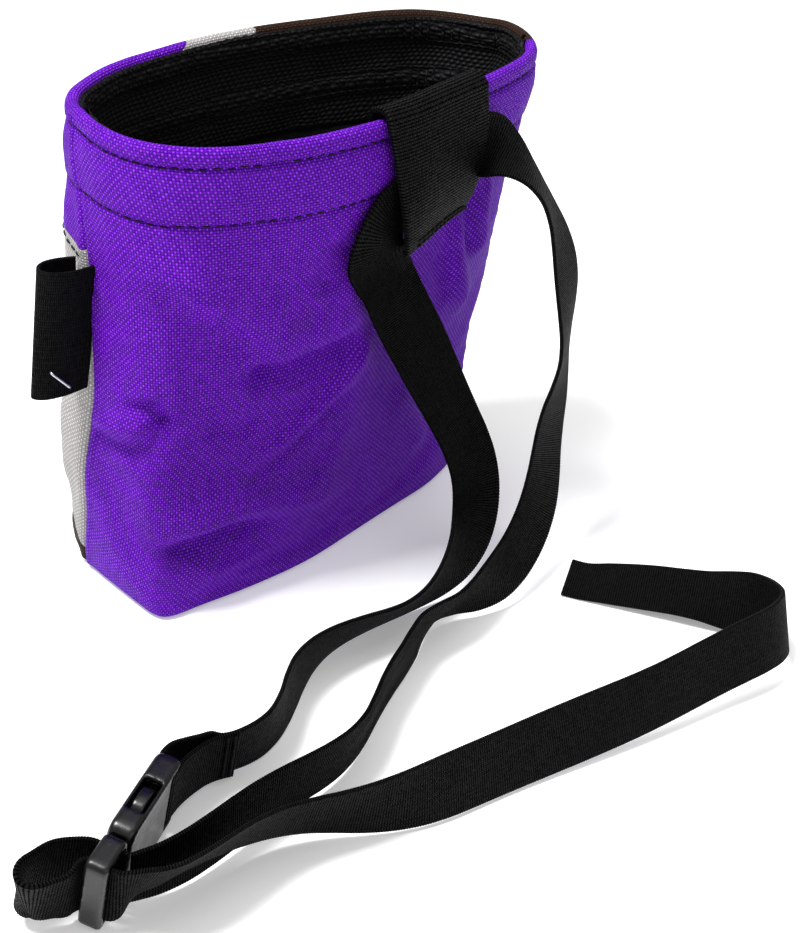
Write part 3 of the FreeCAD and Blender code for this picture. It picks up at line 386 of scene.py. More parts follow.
def add_cloth(wall):
    modifier = wall.modifiers.new("cloth", "CLOTH")
    settings = dict(
        quality=6, mass=0.12, tension_stiffness=14, compression_stiffness=14, shear_stiffness=8,
        bending_stiffness=0.35, air_damping=2.0, vertex_group_mass="hold", pin_stiffness=1.0,
        shrink_min=-0.008)              # negative: the cloth is too long for its frame
    for key, value in settings.items():
        setattr(modifier.settings, key, value)
    modifier.collision_settings.use_collision = False
    modifier.collision_settings.use_self_collision = False
    modifier.point_cache.frame_start = 1
    modifier.point_cache.frame_end = SIM_FRAMES


def settle(grid, column_step, row_step):
    """simulated sag of the wall into wrinkles: the offset of every grid point in mm"""
    rows = np.r_[WALL_ROWS[:-1:row_step], WALL_ROWS[-1]]
    columns = np.arange(0, COLUMNS, column_step)
    start = grid[rows][:, columns]
    row_count, count = len(rows), len(columns)
    i = np.arange(row_count - 1)[:, None] * count
    j = np.arange(count)[None, :]
    j_next = (j + 1) % count
    faces = np.stack([i + j, i + j_next, i + count + j_next, i + count + j], -1).reshape(-1, 4)
    mesh = bpy.data.meshes.new("wall")
    mesh.from_pydata((start.reshape(-1, 3) * SIM_SCALE).tolist(), [], faces.tolist())
    wall = bpy.data.objects.new("wall", mesh)
    scene = bpy.context.scene
    scene.collection.objects.link(wall)
    group = wall.vertex_groups.new(name="hold")
    for k, weight in enumerate(hold_weights(start, columns).reshape(-1)):
        group.add([k], float(weight), "REPLACE")
    add_cloth(wall)
    for frame_number in range(1, SIM_FRAMES + 1):
        scene.frame_set(frame_number)
    depsgraph = bpy.context.evaluated_depsgraph_get()
    settled = np.empty(row_count * count * 3)
    wall.evaluated_get(depsgraph).to_mesh().vertices.foreach_get("co", settled)
    sag = settled.reshape(row_count, count, 3) / SIM_SCALE - start
    bpy.data.objects.remove(wall)
    scene.frame_set(1)
    top = np.percentile(np.linalg.norm(sag, axis=2), 98)
    if top > MAX_SAG:
        sag *= MAX_SAG / top
    # spread over the fine grid and smooth between the coarse points
    full = np.zeros_like(grid)
    half_c, half_r = column_step // 2, row_step // 2
    for axis in range(3):
        tall = np.stack([np.interp(WALL_ROWS, rows, sag[:, k, axis]) for k in range(count)], 1)
        tall = np.c_[tall, tall[:, :1]]
        knots = np.r_[columns, COLUMNS]
        fine = np.stack([np.interp(np.arange(COLUMNS), knots, line) for line in tall])
        for _ in range(3):
            fine = (np.roll(fine, half_c, 1) + fine + np.roll(fine, -half_c, 1)) / 3
            padded = np.pad(fine, ((half_r, half_r), (0, 0)), "edge")
            fine = (padded[:-2 * half_r] + fine + padded[2 * half_r:]) / 3
        full[WALL_ROWS, :, axis] = fine
    return full


OUTER = np.array([outer_ring(z, inset) for z, inset in ROWS])
OUTER = OUTER + settle(OUTER, column_step=5, row_step=3)


def outer_normals():
    along_row = np.roll(OUTER, -1, 1) - np.roll(OUTER, 1, 1)
    up = np.zeros_like(OUTER)
    up[1:-1] = OUTER[2:] - OUTER[:-2]
    up[0], up[-1] = up[1], up[-2]
    return unit(np.cross(along_row, up))


OUTER_NORMALS = outer_normals()


def on_cloth(column, z):
    """point and outward normal of the outer cloth at a fractional column and a height"""
    column, z = np.broadcast_arrays(np.asarray(column, float) % COLUMNS, z)
    row = np.interp(z, WALL_Z, WALL_ROWS)
    r0 = np.clip(np.floor(row).astype(int), WALL_ROWS[0], WALL_ROWS[-1] - 1)
    fr = (row - r0)[:, None]
    c0 = np.floor(column).astype(int) % COLUMNS
    c1 = (c0 + 1) % COLUMNS
    fc = (column - np.floor(column))[:, None]

    def blend(grid):
        return ((grid[r0, c0] * (1 - fr) + grid[r0 + 1, c0] * fr) * (1 - fc)
                + (grid[r0, c1] * (1 - fr) + grid[r0 + 1, c1] * fr) * fc)
    return blend(OUTER), unit(blend(OUTER_NORMALS))


# ------------------------------------------------------------------ mesh helpers
def make_mesh(name, verts, faces, uvs):
    """smooth object from verts in mm; uvs holds one pair per face corner"""
    mesh = bpy.data.meshes.new(name)
    mesh.from_pydata((np.asarray(verts, float) * MM).tolist(), [],
                     [list(map(int, face)) for face in faces])
    layer = mesh.uv_layers.new(name="UVMap")
    layer.data.foreach_set("uv", np.asarray(uvs, np.float32).ravel())
    mesh.polygons.foreach_set("use_smooth", [True] * len(mesh.polygons))
    mesh.validate()
    mesh.update()
    ob = bpy.data.objects.new(name, mesh)
    bpy.context.scene.collection.objects.link(ob)
    return ob


UV_UNIT = 100.0         # mm of cloth per UV unit


def corners(a):
    """the four corner values of every cell of a grid"""
    return np.stack([a[:-1, :-1], a[:-1, 1:], a[1:, 1:], a[1:, :-1]], -1)


def grid_mesh(name, points, u, v, closed=False):
    """quads over a grid (rows, columns, 3); u, v are its cloth coordinates in mm"""
    index = np.arange(points.shape[0] * points.shape[1]).reshape(points.shape[:2])
    if closed:
        index = np.c_[index, index[:, :1]]
        u = np.c_[u, u[:, :1] + PERIMETER]
        v = np.c_[v, v[:, :1]]
    uvs = np.stack([corners(u), corners(v)], -1).reshape(-1, 2) / UV_UNIT
    return make_mesh(name, points.reshape(-1, 3), corners(index).reshape(-1, 4), uvs)


def merge(parts):
    """joins (verts, faces, uvs) parts into one"""
    verts, faces, uvs = [], [], []
    count = 0
    for v, f, t in parts:
        verts.append(v)
        faces += [tuple(i + count for i in face) for face in f]
        uvs.append(t)
        count += len(v)
    return np.concatenate(verts), faces, np.concatenate(uvs)


def join_objects(objects):
    bpy.ops.object.select_all(action="DESELECT")
    for ob in objects:
        ob.select_set(True)
    bpy.context.view_layer.objects.active = objects[0]
    bpy.ops.object.join()
    return objects[0]


def thicken(ob, thickness, offset=-1.0):
    """gives a cloth its thickness and bakes it into the mesh"""
    modifier = ob.modifiers.new("t", "SOLIDIFY")
    modifier.thickness = thickness * MM
    modifier.offset = offset
    bpy.context.view_layer.update()
    depsgraph = bpy.context.evaluated_depsgraph_get()
    mesh = bpy.data.meshes.new_from_object(ob.evaluated_get(depsgraph))
    ob.modifiers.clear()
    ob.data = mesh


def finish(ob, material, node, slot, moves="pouch"):
    ob.data.materials.clear()
    ob.data.materials.append(material)
    if isinstance(moves, str):
        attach(ob, moves)
    else:
        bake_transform(ob)
    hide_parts(node)


def tube(points, radii, sides=8):
    """closed tube along points: verts, faces, uvs"""
    points = np.asarray(points, float)
    count = len(points)
    radii = np.broadcast_to(np.asarray(radii, float), (count,))
    tangent = unit(np.gradient(points, axis=0))
    a = unit(np.cross(tangent, np.array([0.31, 0.17, 0.93])))
    b = np.cross(tangent, a)
    angle = np.arange(sides) / sides * 2 * math.pi
    spokes = (np.cos(angle)[None, :, None] * a[:, None]
              + np.sin(angle)[None, :, None] * b[:, None])
    rings = points[:, None] + radii[:, None, None] * spokes
    verts = np.concatenate([rings.reshape(-1, 3), points[:1], points[-1:]])
    faces, uvs = [], []
    run = run_length(points)
    for i in range(count - 1):
        low, high = i * sides, (i + 1) * sides
        for j in range(sides):
            k = (j + 1) % sides
            faces.append((low + j, low + k, high + k, high + j))
            uvs += [(run[i], j / sides), (run[i], (j + 1) / sides),
                    (run[i + 1], (j + 1) / sides), (run[i + 1], j / sides)]
    first_tip, last = count * sides, (count - 1) * sides
    for j in range(sides):
        k = (j + 1) % sides
        faces += [(first_tip, k, j), (first_tip + 1, last + j, last + k)]
        uvs += [(0, 0)] * 3 + [(run[-1], 0)] * 3
    return verts, faces, np.array(uvs) / UV_UNIT


STITCH_DIP = 0.55


def stitches(name, path, normals, seed, pitch, length, radius, lift, jitter=0.12):
    """separate stitches along a path, each sinking into the cloth at both ends"""
    random = np.random.RandomState(seed)
    run = run_length(path)
    w = np.linspace(-1, 1, 7)
    parts = []
    start = pitch * 0.4
    while start + length < run[-1]:
        u = np.linspace(start, start + length * (1 + 0.06 * random.randn()), 7)
        points = np.stack([np.interp(u, run, path[:, k]) for k in range(3)], 1)
        normal = unit(np.stack([np.interp(u, run, normals[:, k]) for k in range(3)], 1))
        side = unit(np.cross(normal, np.gradient(points, axis=0)))
        height = lift - STITCH_DIP * np.abs(w) ** 4
        sway = random.randn() * jitter + w * random.randn() * jitter * 0.6
        points = points + normal * height[:, None] + side * sway[:, None]
        parts.append(tube(points, radius * (1 - 0.35 * np.abs(w) ** 3)))
        start += pitch * (1 + 0.03 * random.randn())
    return make_mesh(name, *merge(parts))


# ------------------------------------------------------------------ shader helpers
SURFACE_INPUTS = dict(
    color="Base Color", rough="Roughness", metal="Metallic", normal="Normal",
    sheen="Sheen Weight", sheen_rough="Sheen Roughness", sheen_tint="Sheen Tint",
    spec="Specular IOR Level", coat="Coat Weight", coat_rough="Coat Roughness",
    glow_color="Emission Color", glow="Emission Strength")


class Wire:
    """an output socket that can be calculated with: each operation adds one Math node"""

    def __init__(self, net, socket):
        self.net, self.socket = net, socket

    def do(self, operation, *others):
        return self.net.math(operation, self, *others)

    def __add__(self, other):
        return self.do("ADD", other)

    def __sub__(self, other):
        return self.do("SUBTRACT", other)

    def __rsub__(self, other):
        return self.net.math("SUBTRACT", other, self)

    def __mul__(self, other):
        return self.do("MULTIPLY", other)

    def __truediv__(self, other):
        return self.do("DIVIDE", other)

    def __pow__(self, other):
        return self.do("POWER", other)

    def ramp(self, span, to=(0.0, 1.0)):
        """maps the span linearly onto the range to, and holds its ends"""
        return self.net.node("MapRange", {"From Min": span[0], "From Max": span[1],
                                          "To Min": to[0], "To Max": to[1], "Value": self})


class Net:
    """node tree of one material around a Principled surface"""

    def __init__(self, name):
        self.material = bpy.data.materials.new(name)
        self.material.use_nodes = True
        self.tree = self.material.node_tree
        self.tree.nodes.clear()
        output = self.tree.nodes.new("ShaderNodeOutputMaterial")
        self.surface = self.tree.nodes.new("ShaderNodeBsdfPrincipled")
        self.tree.links.new(self.surface.outputs[0], output.inputs[0])

    def put(self, socket, value):
        if isinstance(value, Wire):
            self.tree.links.new(value.socket, socket)
        elif isinstance(value, (int, float)):
            socket.default_value = value
        else:
            alpha = (1.0,) if len(value) == 3 and len(socket.default_value) == 4 else ()
            socket.default_value = tuple(value) + alpha

    def node(self, kind, inputs=(), out=0, **settings):
        node = self.tree.nodes.new("ShaderNode" + kind)
        for key, value in settings.items():
            setattr(node, key, value)
        for key, value in dict(inputs).items():
            self.put(node.inputs[key], value)
        return Wire(self, node.outputs[out])

    def math(self, operation, *values):
        return self.node("Math", dict(enumerate(values)), operation=operation)

    def mapped(self, vector, scale, rotation=(0, 0, 0)):
        return self.node("Mapping", {"Vector": vector, "Scale": scale, "Rotation": rotation})

    def cloth_uv(self):
        """cloth coordinates in mm: the vector and its two parts"""
        vector = self.mapped(self.node("UVMap", uv_map="UVMap"), scale=(UV_UNIT, UV_UNIT, 1))
        u = self.node("SeparateXYZ", {0: vector})
        return vector, u, Wire(self, u.socket.node.outputs[1])

    def place(self):
        """object coordinates in metres"""
        return self.node("TexCoord", out="Object")

    def noise(self, vector, scale, detail=3.0, rough=0.55, distortion=0.0):
        return self.node("TexNoise", {"Scale": scale, "Detail": detail, "Roughness": rough,
                                      "Distortion": distortion, "Vector": vector})

    def cell_random(self, column, row):
        cell = self.node("CombineXYZ", {0: column, 1: row})
        return self.node("TexWhiteNoise", {"Vector": cell}, noise_dimensions="2D")

    def mix(self, share, a, b):
        return self.node("Mix", {0: share, 6: a, 7: b}, out=2, data_type="RGBA")

    def bump(self, height, distance, strength=1.0, **normal):
        return self.node("Bump", {"Strength": strength, "Distance": distance, "Height": height,
                                  **normal})

    def finish(self, **values):
        for key, value in values.items():
            self.put(self.surface.inputs[SURFACE_INPUTS[key]], value)
        return self.material


def tint(color, factor, lift=0.0):
    return tuple(min(1, x * factor + lift) for x in color)


# ------------------------------------------------------------------ materials
WEAVE_PITCH = 0.84      # mm between threads of the panel cloth


def panel_cloth(name, color, gap, high, sheen, spec, weft, variation, depth=0.0003):
    """plain weave of rounded threads; height, colour and gloss follow each thread: the gap colour is
    painted shade where the threads dive, the high colour a painted highlight on their crowns
    """
    net = Net(name)
    cloth, u, v = net.cloth_uv()
    u = u + net.noise(cloth, scale=0.22, detail=2.0) * 0.5
    v = v + net.noise(cloth, scale=0.17, detail=2.0) * 0.5
    u, v = u / WEAVE_PITCH, v / WEAVE_PITCH
    column, row = u.do("FLOOR"), v.do("FLOOR")
    weft_on_top = (column + row).do("PINGPONG", 1.0)
    arch_u = (u.do("FRACT") * math.pi).do("SINE")
    arch_v = (v.do("FRACT") * math.pi).do("SINE")
    # threads are 0.45 high where they dive and 1 where they cross over
    warp_height = arch_u ** 0.6 * arch_v.do("MULTIPLY_ADD", 0.55, 0.45)
    weft_height = arch_v ** 0.6 * arch_u.do("MULTIPLY_ADD", 0.55, 0.45) * weft
    height = warp_height * (1.0 - weft_on_top) + weft_height * weft_on_top
    # one random value per crossing; the factor sets how fast it changes from row to row
    random = net.cell_random(column, row * 1.0)
    uneven = height + random * 0.14
    fibrous = uneven + net.noise(cloth, scale=9.0, detail=2.0, rough=0.7) * 0.10
    # painted shade: the cloth darkens toward the gap colour where the threads dive between each
    # other
    shade = net.mix(height.ramp(span=(0.12, 0.95)), gap, color)
    # painted highlight: the raised crowns of the threads lighten toward the high colour
    shade = net.mix(uneven.ramp(span=(0.75, 1.12)), shade, high)
    clouds = net.noise(cloth, scale=0.035, detail=3.0, rough=0.6)
    shade = net.mix(clouds.ramp(span=(0.3, 0.7), to=(0.0, variation)), shade, tint(color, 0.55))
    shade = net.mix(random * variation, shade, high)
    worn = net.noise(cloth, scale=0.5, detail=4.0, rough=0.7)
    shade = net.mix(worn.ramp(span=(0.62, 0.78), to=(0.0, 0.10)), shade,
                    tint(color, 0.8, lift=0.06))
    return net.finish(
        color=shade, rough=uneven.ramp(span=(0.0, 1.1), to=(0.8, 0.5)),
        normal=net.bump(fibrous, distance=depth), sheen=sheen, sheen_rough=0.45,
        sheen_tint=tint(high, 1.5, lift=0.1), spec=spec)


def webbing(name, pitch, base, high, across, rib, sheen, rough):
    """crosswise ribs broken up by fine lengthwise yarns; base and high are grey levels: base is
    painted shade in the grooves between the ribs, high a painted highlight on the rib crowns
    """
    net = Net(name)
    cloth, u, v = net.cloth_uv()
    slant = 0.0                         # ribs run straight across
    v = v + net.noise(cloth, scale=0.15, detail=2.0) * 0.35 + u * slant
    yarns, ribs = u / across, v / pitch
    yarn = yarns.do("FLOOR")
    # neighbouring yarns are shifted by half a rib, which gives the small herringbone
    shifted = ribs + yarn.do("PINGPONG", 1.0) * 0.5
    rib_shifted = (shifted * math.pi).do("SINE").do("ABSOLUTE")
    rib_plain = (ribs * math.pi).do("SINE").do("ABSOLUTE")
    yarn_arch = (yarns.do("FRACT") * math.pi).do("SINE")
    height = rib_shifted * yarn_arch ** 0.5 * 0.45 + rib_plain * 0.55
    random = net.cell_random(yarn, shifted.do("FLOOR"))
    rough_height = (height + random * 0.18
                    + net.noise(cloth, scale=8.0, detail=2.0, rough=0.7) * 0.12)
    # painted shade and highlight: darker in the grooves between the ribs, lighter on their crowns
    shade = net.mix(height.ramp(span=(0.35, 1.0)), (base, base, base * 1.1),
                    (high, high, high * 1.12))
    shade = net.mix(random * 0.25, shade, (high * 1.7, high * 1.65, high * 1.75))
    clouds = net.noise(cloth, scale=0.06)
    shade = net.mix(clouds.ramp(span=(0.35, 0.7), to=(0.0, 0.35)), shade,
                    (high * 0.5, high * 0.5, high * 0.55))
    lint = net.noise(cloth, scale=2.3, detail=6.0, rough=0.75)
    shade = net.mix(lint.ramp(span=(0.72, 0.80), to=(0.0, 0.22)), shade, (0.05, 0.048, 0.048))
    return net.finish(
        color=shade, rough=rough_height.ramp(span=(0.1, 1.1), to=(rough + 0.25, rough - 0.12)),
        normal=net.bump(rough_height, distance=rib), sheen=sheen, sheen_rough=0.4,
        sheen_tint=(0.6, 0.6, 0.65), spec=rough_height.ramp(span=(0.50, 1.15), to=(0.0, 0.11)))


def spacer_mesh(name):
    """coarse mesh: rounded knots around small holes, set in a brick pattern; the holes carry painted
    shade, the knots painted light
    """
    net = Net(name)
    cloth, u, v = net.cloth_uv()
    pitch_u, pitch_v = 2.3, 1.45
    v = v / pitch_v
    u = u / pitch_u + v.do("FLOOR").do("PINGPONG", 1.0) * 0.5
    off_u, off_v = u.do("FRACT") - 0.5, v.do("FRACT") - 0.5
    radius = ((off_u * 1.15) ** 2.0 + (off_v * 0.95) ** 2.0).do("SQRT")
    knot = radius.ramp(span=(0.12, 0.52), to=(1.0, 0.0))
    height = knot ** 0.7 + net.noise(cloth, scale=6.0, rough=0.7) * 0.22
    # painted shade: the holes are near-black, the lit knots lighter
    shade = net.mix(knot.ramp(span=(0.15, 0.9)), (0.0008, 0.0008, 0.0010),
                    (0.0060, 0.0060, 0.0075))
    clouds = net.noise(cloth, scale=0.08)
    shade = net.mix(clouds.ramp(span=(0.3, 0.7), to=(0.0, 0.5)), shade, (0.008, 0.008, 0.010))
    return net.finish(
        color=shade, rough=knot.ramp(span=(0.0, 1.0), to=(0.9, 0.42)),
        normal=net.bump(height, distance=0.0007), sheen=0.01, sheen_rough=0.5,
        sheen_tint=(0.5, 0.5, 0.55), spec=0.16)


def fleece_pile(name):
    """dark pile with pale lint; the tufts vary at random in tone and the hollows between them carry
    painted shade
    """
    net = Net(name)
    place = net.place()
    tufts = net.noise(place, scale=420.0, detail=5.0, rough=0.75, distortion=0.4)
    fibres = net.noise(place, scale=1500.0, rough=0.8, distortion=0.2)
    height = tufts * 0.7 + fibres * 0.4
    # random tone of the tufts, with painted shade in the hollows between them
    shade = net.mix(height.ramp(span=(0.35, 0.8)), (0.0015, 0.0015, 0.002),
                    (0.008, 0.008, 0.009))
    lint = net.noise(place, scale=900.0, detail=4.0, rough=0.8)
    shade = net.mix(lint.ramp(span=(0.70, 0.76), to=(0.0, 0.35)), shade, (0.08, 0.08, 0.085))
    return net.finish(
        color=shade, rough=0.95, normal=net.bump(height, distance=0.0011), sheen=0.05,
        sheen_rough=0.6, sheen_tint=(0.35, 0.35, 0.4), spec=0.05)


def sewing_thread(name, color):
    """twisted thread: the ply runs slantwise round the stitch; its colour has painted shade in the
    grooves and a painted highlight on the crowns, with random tone
    """
    net = Net(name)
    _, u, v = net.cloth_uv()
    twist = 0.5
    ply = ((u / twist + v) * (2 * math.pi)).do("SINE")
    height = ply * 0.5 + net.noise(net.place(), scale=3000.0, rough=0.7)
    # painted shade in the grooves between plies, painted highlight on their crowns; the noise adds
    # random tone
    shade = net.mix(height.ramp(span=(0.0, 1.4)), tint(color, 0.45), tint(color, 1.8))
    return net.finish(
        color=shade, rough=0.6, normal=net.bump(height, distance=0.00008), sheen=0.02,
        sheen_rough=0.4, spec=0.15)


def moulded_plastic(name):
    """satin plastic: fine grain, cloudy polish, small scuffs and dust"""
    net = Net(name)
    place = net.place()
    grain = net.noise(place, scale=2600.0, rough=0.6)
    clouds = net.noise(place, scale=140.0, detail=4.0, rough=0.6)
    streaks = net.mapped(place, scale=(90, 900, 240), rotation=(0.3, 0.5, 0.7))
    scratch = net.noise(streaks, scale=3.0, detail=4.0, rough=0.8).ramp(span=(0.66, 0.74))
    shade = net.mix(clouds.ramp(span=(0.3, 0.75)), (0.0016, 0.0016, 0.002),
                    (0.005, 0.005, 0.006))
    shade = net.mix(scratch * 0.45, shade, (0.03, 0.03, 0.032))
    dust = net.noise(place, scale=1100.0, detail=5.0, rough=0.8)
    shade = net.mix(dust.ramp(span=(0.69, 0.78), to=(0.0, 0.30)), shade, (0.03, 0.03, 0.03))
    rounded = net.node("Bevel", {"Radius": 0.0005}, samples=6)
    return net.finish(
        color=shade, rough=clouds.ramp(span=(0.3, 0.7), to=(0.20, 0.36)) + scratch * 0.18,
        normal=net.bump(grain * 0.6 - scratch * 0.5, distance=0.00006, strength=0.8,
                        Normal=rounded),
        spec=0.34, coat=0.12, coat_rough=0.12)


def drawn_steel(name):
    net = Net(name)
    place = net.place()
    streak = net.noise(net.mapped(place, scale=(300, 300, 4000)), scale=4.0, rough=0.7)
    shade = net.mix(streak.ramp(span=(0.3, 0.7)), (0.42, 0.43, 0.44), (0.72, 0.73, 0.74))
    stains = net.noise(place, scale=900.0, detail=4.0)
    shade = net.mix(stains.ramp(span=(0.6, 0.72), to=(0.0, 0.5)), shade, (0.22, 0.20, 0.18))
    return net.finish(
        color=shade, metal=1.0, rough=streak.ramp(span=(0.3, 0.7), to=(0.22, 0.42)),
        normal=net.bump(streak, distance=0.00003))


def pale_plastic(name):
    net = Net(name)
    mottle = net.noise(net.place(), scale=500.0, detail=4.0, rough=0.6)
    return net.finish(
        color=net.mix(mottle, (0.62, 0.62, 0.60), (0.78, 0.78, 0.75)),
        rough=mottle.ramp(span=(0.3, 0.7), to=(0.4, 0.6)),
        normal=net.bump(mottle, distance=0.0001), spec=0.4)


def floor_paper(name):
    """nearly white paper that glows a little"""
    net = Net(name)
    mottle = net.noise(net.place(), scale=3.0)
    return net.finish(
        color=net.mix(mottle, (0.90, 0.90, 0.895), (0.92, 0.92, 0.92)), rough=0.75, spec=0.1,
        glow_color=(1.0, 0.995, 0.99), glow=0.26)


BELT_PITCH, LOOP_PITCH, ELASTIC_PITCH = 0.75, 1.0, 0.55     # mm between webbing ribs

# gap: painted shade between the threads; high: painted highlight on the thread crowns, also the
# colour of random lighter crossings
VIOLET = panel_cloth(
    "violet_cloth", color=(0.180, 0.0052, 0.700), gap=(0.030, 0.0004, 0.160),
    high=(0.390, 0.055, 0.980), sheen=0.01, spec=0.08, weft=0.5, variation=0.12, depth=0.0006)
WHITE = panel_cloth(
    "white_cloth", color=(0.50, 0.48, 0.47), gap=(0.20, 0.19, 0.19), high=(0.72, 0.71, 0.70),
    sheen=0.05, spec=0.14, weft=0.55, variation=0.08)
BROWN = panel_cloth(
    "brown_cloth", color=(0.026, 0.011, 0.006), gap=(0.005, 0.0025, 0.0015),
    high=(0.070, 0.034, 0.020), sheen=0.02, spec=0.08, weft=0.62, variation=0.15)
MESH = spacer_mesh("collar_mesh")
FLEECE = fleece_pile("fleece_pile")
# base: painted shade in the rib grooves; high: painted highlight on the rib crowns
BELT_WEB = webbing("belt_web", pitch=BELT_PITCH, base=0.0002, high=0.0050, across=0.62,
                   rib=0.00036, sheen=0.0, rough=0.60)
LOOP_WEB = webbing("loop_web", pitch=LOOP_PITCH, base=0.0002, high=0.0048, across=0.8,
                   rib=0.00040, sheen=0.0, rough=0.60)
ELASTIC = webbing("elastic_web", pitch=ELASTIC_PITCH, base=0.0003, high=0.0055, across=0.9,
                  rib=0.00018, sheen=0.005, rough=0.7)
THREAD_DARK = sewing_thread("thread_dark", color=(0.0045, 0.002, 0.010))
THREAD_BLACK = sewing_thread("thread_black", color=(0.0035, 0.0035, 0.004))
PLASTIC = moulded_plastic("buckle_moulding")
STEEL = drawn_steel("staple_wire")
STRIP = pale_plastic("stiffener_strip")

# ------------------------------------------------------------------ outer cloth, cut into panels
CLOTH_V = np.r_[0, np.cumsum(np.linalg.norm(np.diff(OUTER, axis=0), axis=2), axis=0).mean(1)]


def seam_plane(start, end, drop):
    """plane through start and end, and along (0, -1, -drop); its normal points down"""
    start, end = np.array(start), np.array(end)
    return start, unit(np.cross([0.0, -1.0, -drop], end - start))


# Colour seams of the front panel
BROWN_END = (-75.2, 12.0, 34.3)
VIOLET_CUT = seam_plane((-10.7, 39.8, 156.0), (-72.0, 10.0, 118.5), drop=0.05)
BROWN_CUT = seam_plane((15.0, 41.5, 156.0), BROWN_END, drop=0.6)
CORNER_CUT = (np.array([-75.2, 8.6, 34.3]), unit(np.array([0.0, 4.47, -1.0])))


def side_of(plane, point):
    return (point - plane[0]) @ plane[1]


def front_color(point):
    """which colour field of the front panel a point lies in"""
    if point[0] < 50 and side_of(VIOLET_CUT, point) < 0:
        return "violet"
    in_corner = point[0] < -45 and side_of(CORNER_CUT, point) < 0
    if side_of(BROWN_CUT, point) > 0 and not in_corner:
        return "brown"
    return "white"


def keep_color(mesh, color):
    """cuts a front panel mesh along the colour seams and keeps one field"""
    bm = bmesh.new()
    bm.from_mesh(mesh)
    for point, normal in (VIOLET_CUT, BROWN_CUT, CORNER_CUT):
        bmesh.ops.bisect_plane(bm, geom=bm.verts[:] + bm.edges[:] + bm.faces[:], dist=1e-6,
                               plane_co=Vector(point * MM), plane_no=Vector(normal))
    others = [face for face in bm.faces
              if front_color(np.array(face.calc_center_median()) / MM) != color]
    bmesh.ops.delete(bm, geom=others, context="FACES")
    bm.to_mesh(mesh)
    bm.free()


def panel(name, first, last, color, material, node, u_shift=0.0):
    """one cloth panel from column first to last; color picks a field of the front panel"""
    columns = np.arange(first, last + 1) % COLUMNS
    s = CLOTH_S[columns]
    s[1:][s[1:] < s[0]] += PERIMETER
    u = np.tile(s + u_shift, (len(ROWS), 1))
    v = np.tile(CLOTH_V[:, None], (1, len(columns)))
    ob = grid_mesh(name, OUTER[:, columns], u, v)
    if node != "back_panel":
        keep_color(ob.data, color)
    thicken(ob, CLOTH_THICKNESS)
    finish(ob, material, node, color + "_fabric")


panel("back_panel_cloth", 0, BACK_COLUMNS, "violet", VIOLET, "back_panel")
for color, material, u_shift in (("violet", VIOLET, 0.37), ("white", WHITE, 0.0),
                                 ("brown", BROWN, 0.0)):
    panel("front_%s_cloth" % color, BACK_COLUMNS, COLUMNS, color, material,
          "front_panel_" + color, u_shift)


# ------------------------------------------------------------------ topstitching on the panels
def rim_topstitch(node, z, seed):
    """one thread row round the hem"""
    column = np.arange(0, COLUMNS + 1, 0.5)
    s = np.interp(column % COLUMNS, np.arange(COLUMNS), CLOTH_S)
    path, normals = on_cloth(column, z - hem_drift(s))
    ob = stitches(node + "_thread", path, normals, seed, pitch=3.8, length=3.2, radius=0.28,
                  lift=0.10, jitter=0.2)
    finish(ob, THREAD_DARK, node, "thread")


def beside_seam(plane, offset, low, high):
    """line on the front cloth parallel to a colour seam, between two heights"""
    points, normals = [], []
    z = np.arange(low, high, 0.7)
    for column in np.arange(BACK_COLUMNS + BACK_COLUMNS // 5, COLUMNS - 3):
        p, n = on_cloth(column, z)
        s = side_of(plane, p) - offset
        k = np.where(np.sign(s[:-1]) != np.sign(s[1:]))[0]
        if len(k) == 0 or p[0, 0] > 50 or (offset < 0 and p[k[-1], 1] < 14):
            continue
        k = k[-1]
        f = s[k] / (s[k] - s[k + 1])
        points.append(p[k] * (1 - f) + p[k + 1] * f)
        normals.append(n[k] * (1 - f) + n[k + 1] * f)
    return np.array(points), unit(np.array(normals))


def stripe_topstitch():
    """both rows run on the white stripe, 2 mm from its edges"""
    rows = ((VIOLET_CUT, 2.0, 108, 132, 11), (BROWN_CUT, -2.2, 30, 132, 12))
    ob = join_objects([
        stitches("stripe_topstitch_thread", *beside_seam(plane, offset, low, high), seed,
                 pitch=3.6, length=2.9, radius=0.32, lift=0.2)
        for plane, offset, low, high, seed in rows])
    finish(ob, THREAD_BLACK, "stripe_topstitch", "thread")


rim_topstitch("rim_topstitch_upper", UPPER_ROW, seed=3)
rim_topstitch("rim_topstitch_lower", LOWER_ROW, seed=4)
stripe_topstitch()


# ------------------------------------------------------------------ base, lining and stiffener
def shrinking_rings(ring, scales, heights):
    """copies of a ring drawn in toward its centre"""
    centre = ring.mean(0)
    rings = centre + (ring - centre) * scales[:, None, None]
    rings[:, :, 2] = heights[:, None]
    return rings


def inside_grid(heights, offsets, column_step=1):
    """rings inside the outer cloth, with their cloth coordinates"""
    columns = np.arange(0, COLUMNS, column_step)
    rings = []
    for z, offset in zip(heights, offsets):
        point, normal = on_cloth(columns, z)
        rings.append(point - normal * offset)
    rings = np.array(rings)
    v = np.r_[0, np.cumsum(np.linalg.norm(np.diff(rings, axis=0), axis=2).mean(1))]
    return (rings, np.tile(CLOTH_S[columns], (len(v), 1)),
            np.tile(v[:, None], (1, len(columns))))


def inward(points, centre):
    """level directions toward the middle of the pouch"""
    x, y = points[:, :, 0], points[:, :, 1]
    return unit(np.stack([centre[0] - x, centre[1] - y, 0 * x], -1))


def base_cloth():
    scales = np.linspace(1.0, 0.01, 30)
    points = shrinking_rings(OUTER[0], scales, np.full(30, 0.9))
    x, y = points[:, :, 0], points[:, :, 1]
    points[:, :, 2] += 0.25 * noise2(x / 9, y / 9, 5) * (scales[:, None] < 0.97)
    ob = grid_mesh("base_cloth", points, x, y, closed=True)
    finish(ob, BROWN, "base_panel", "brown_fabric")


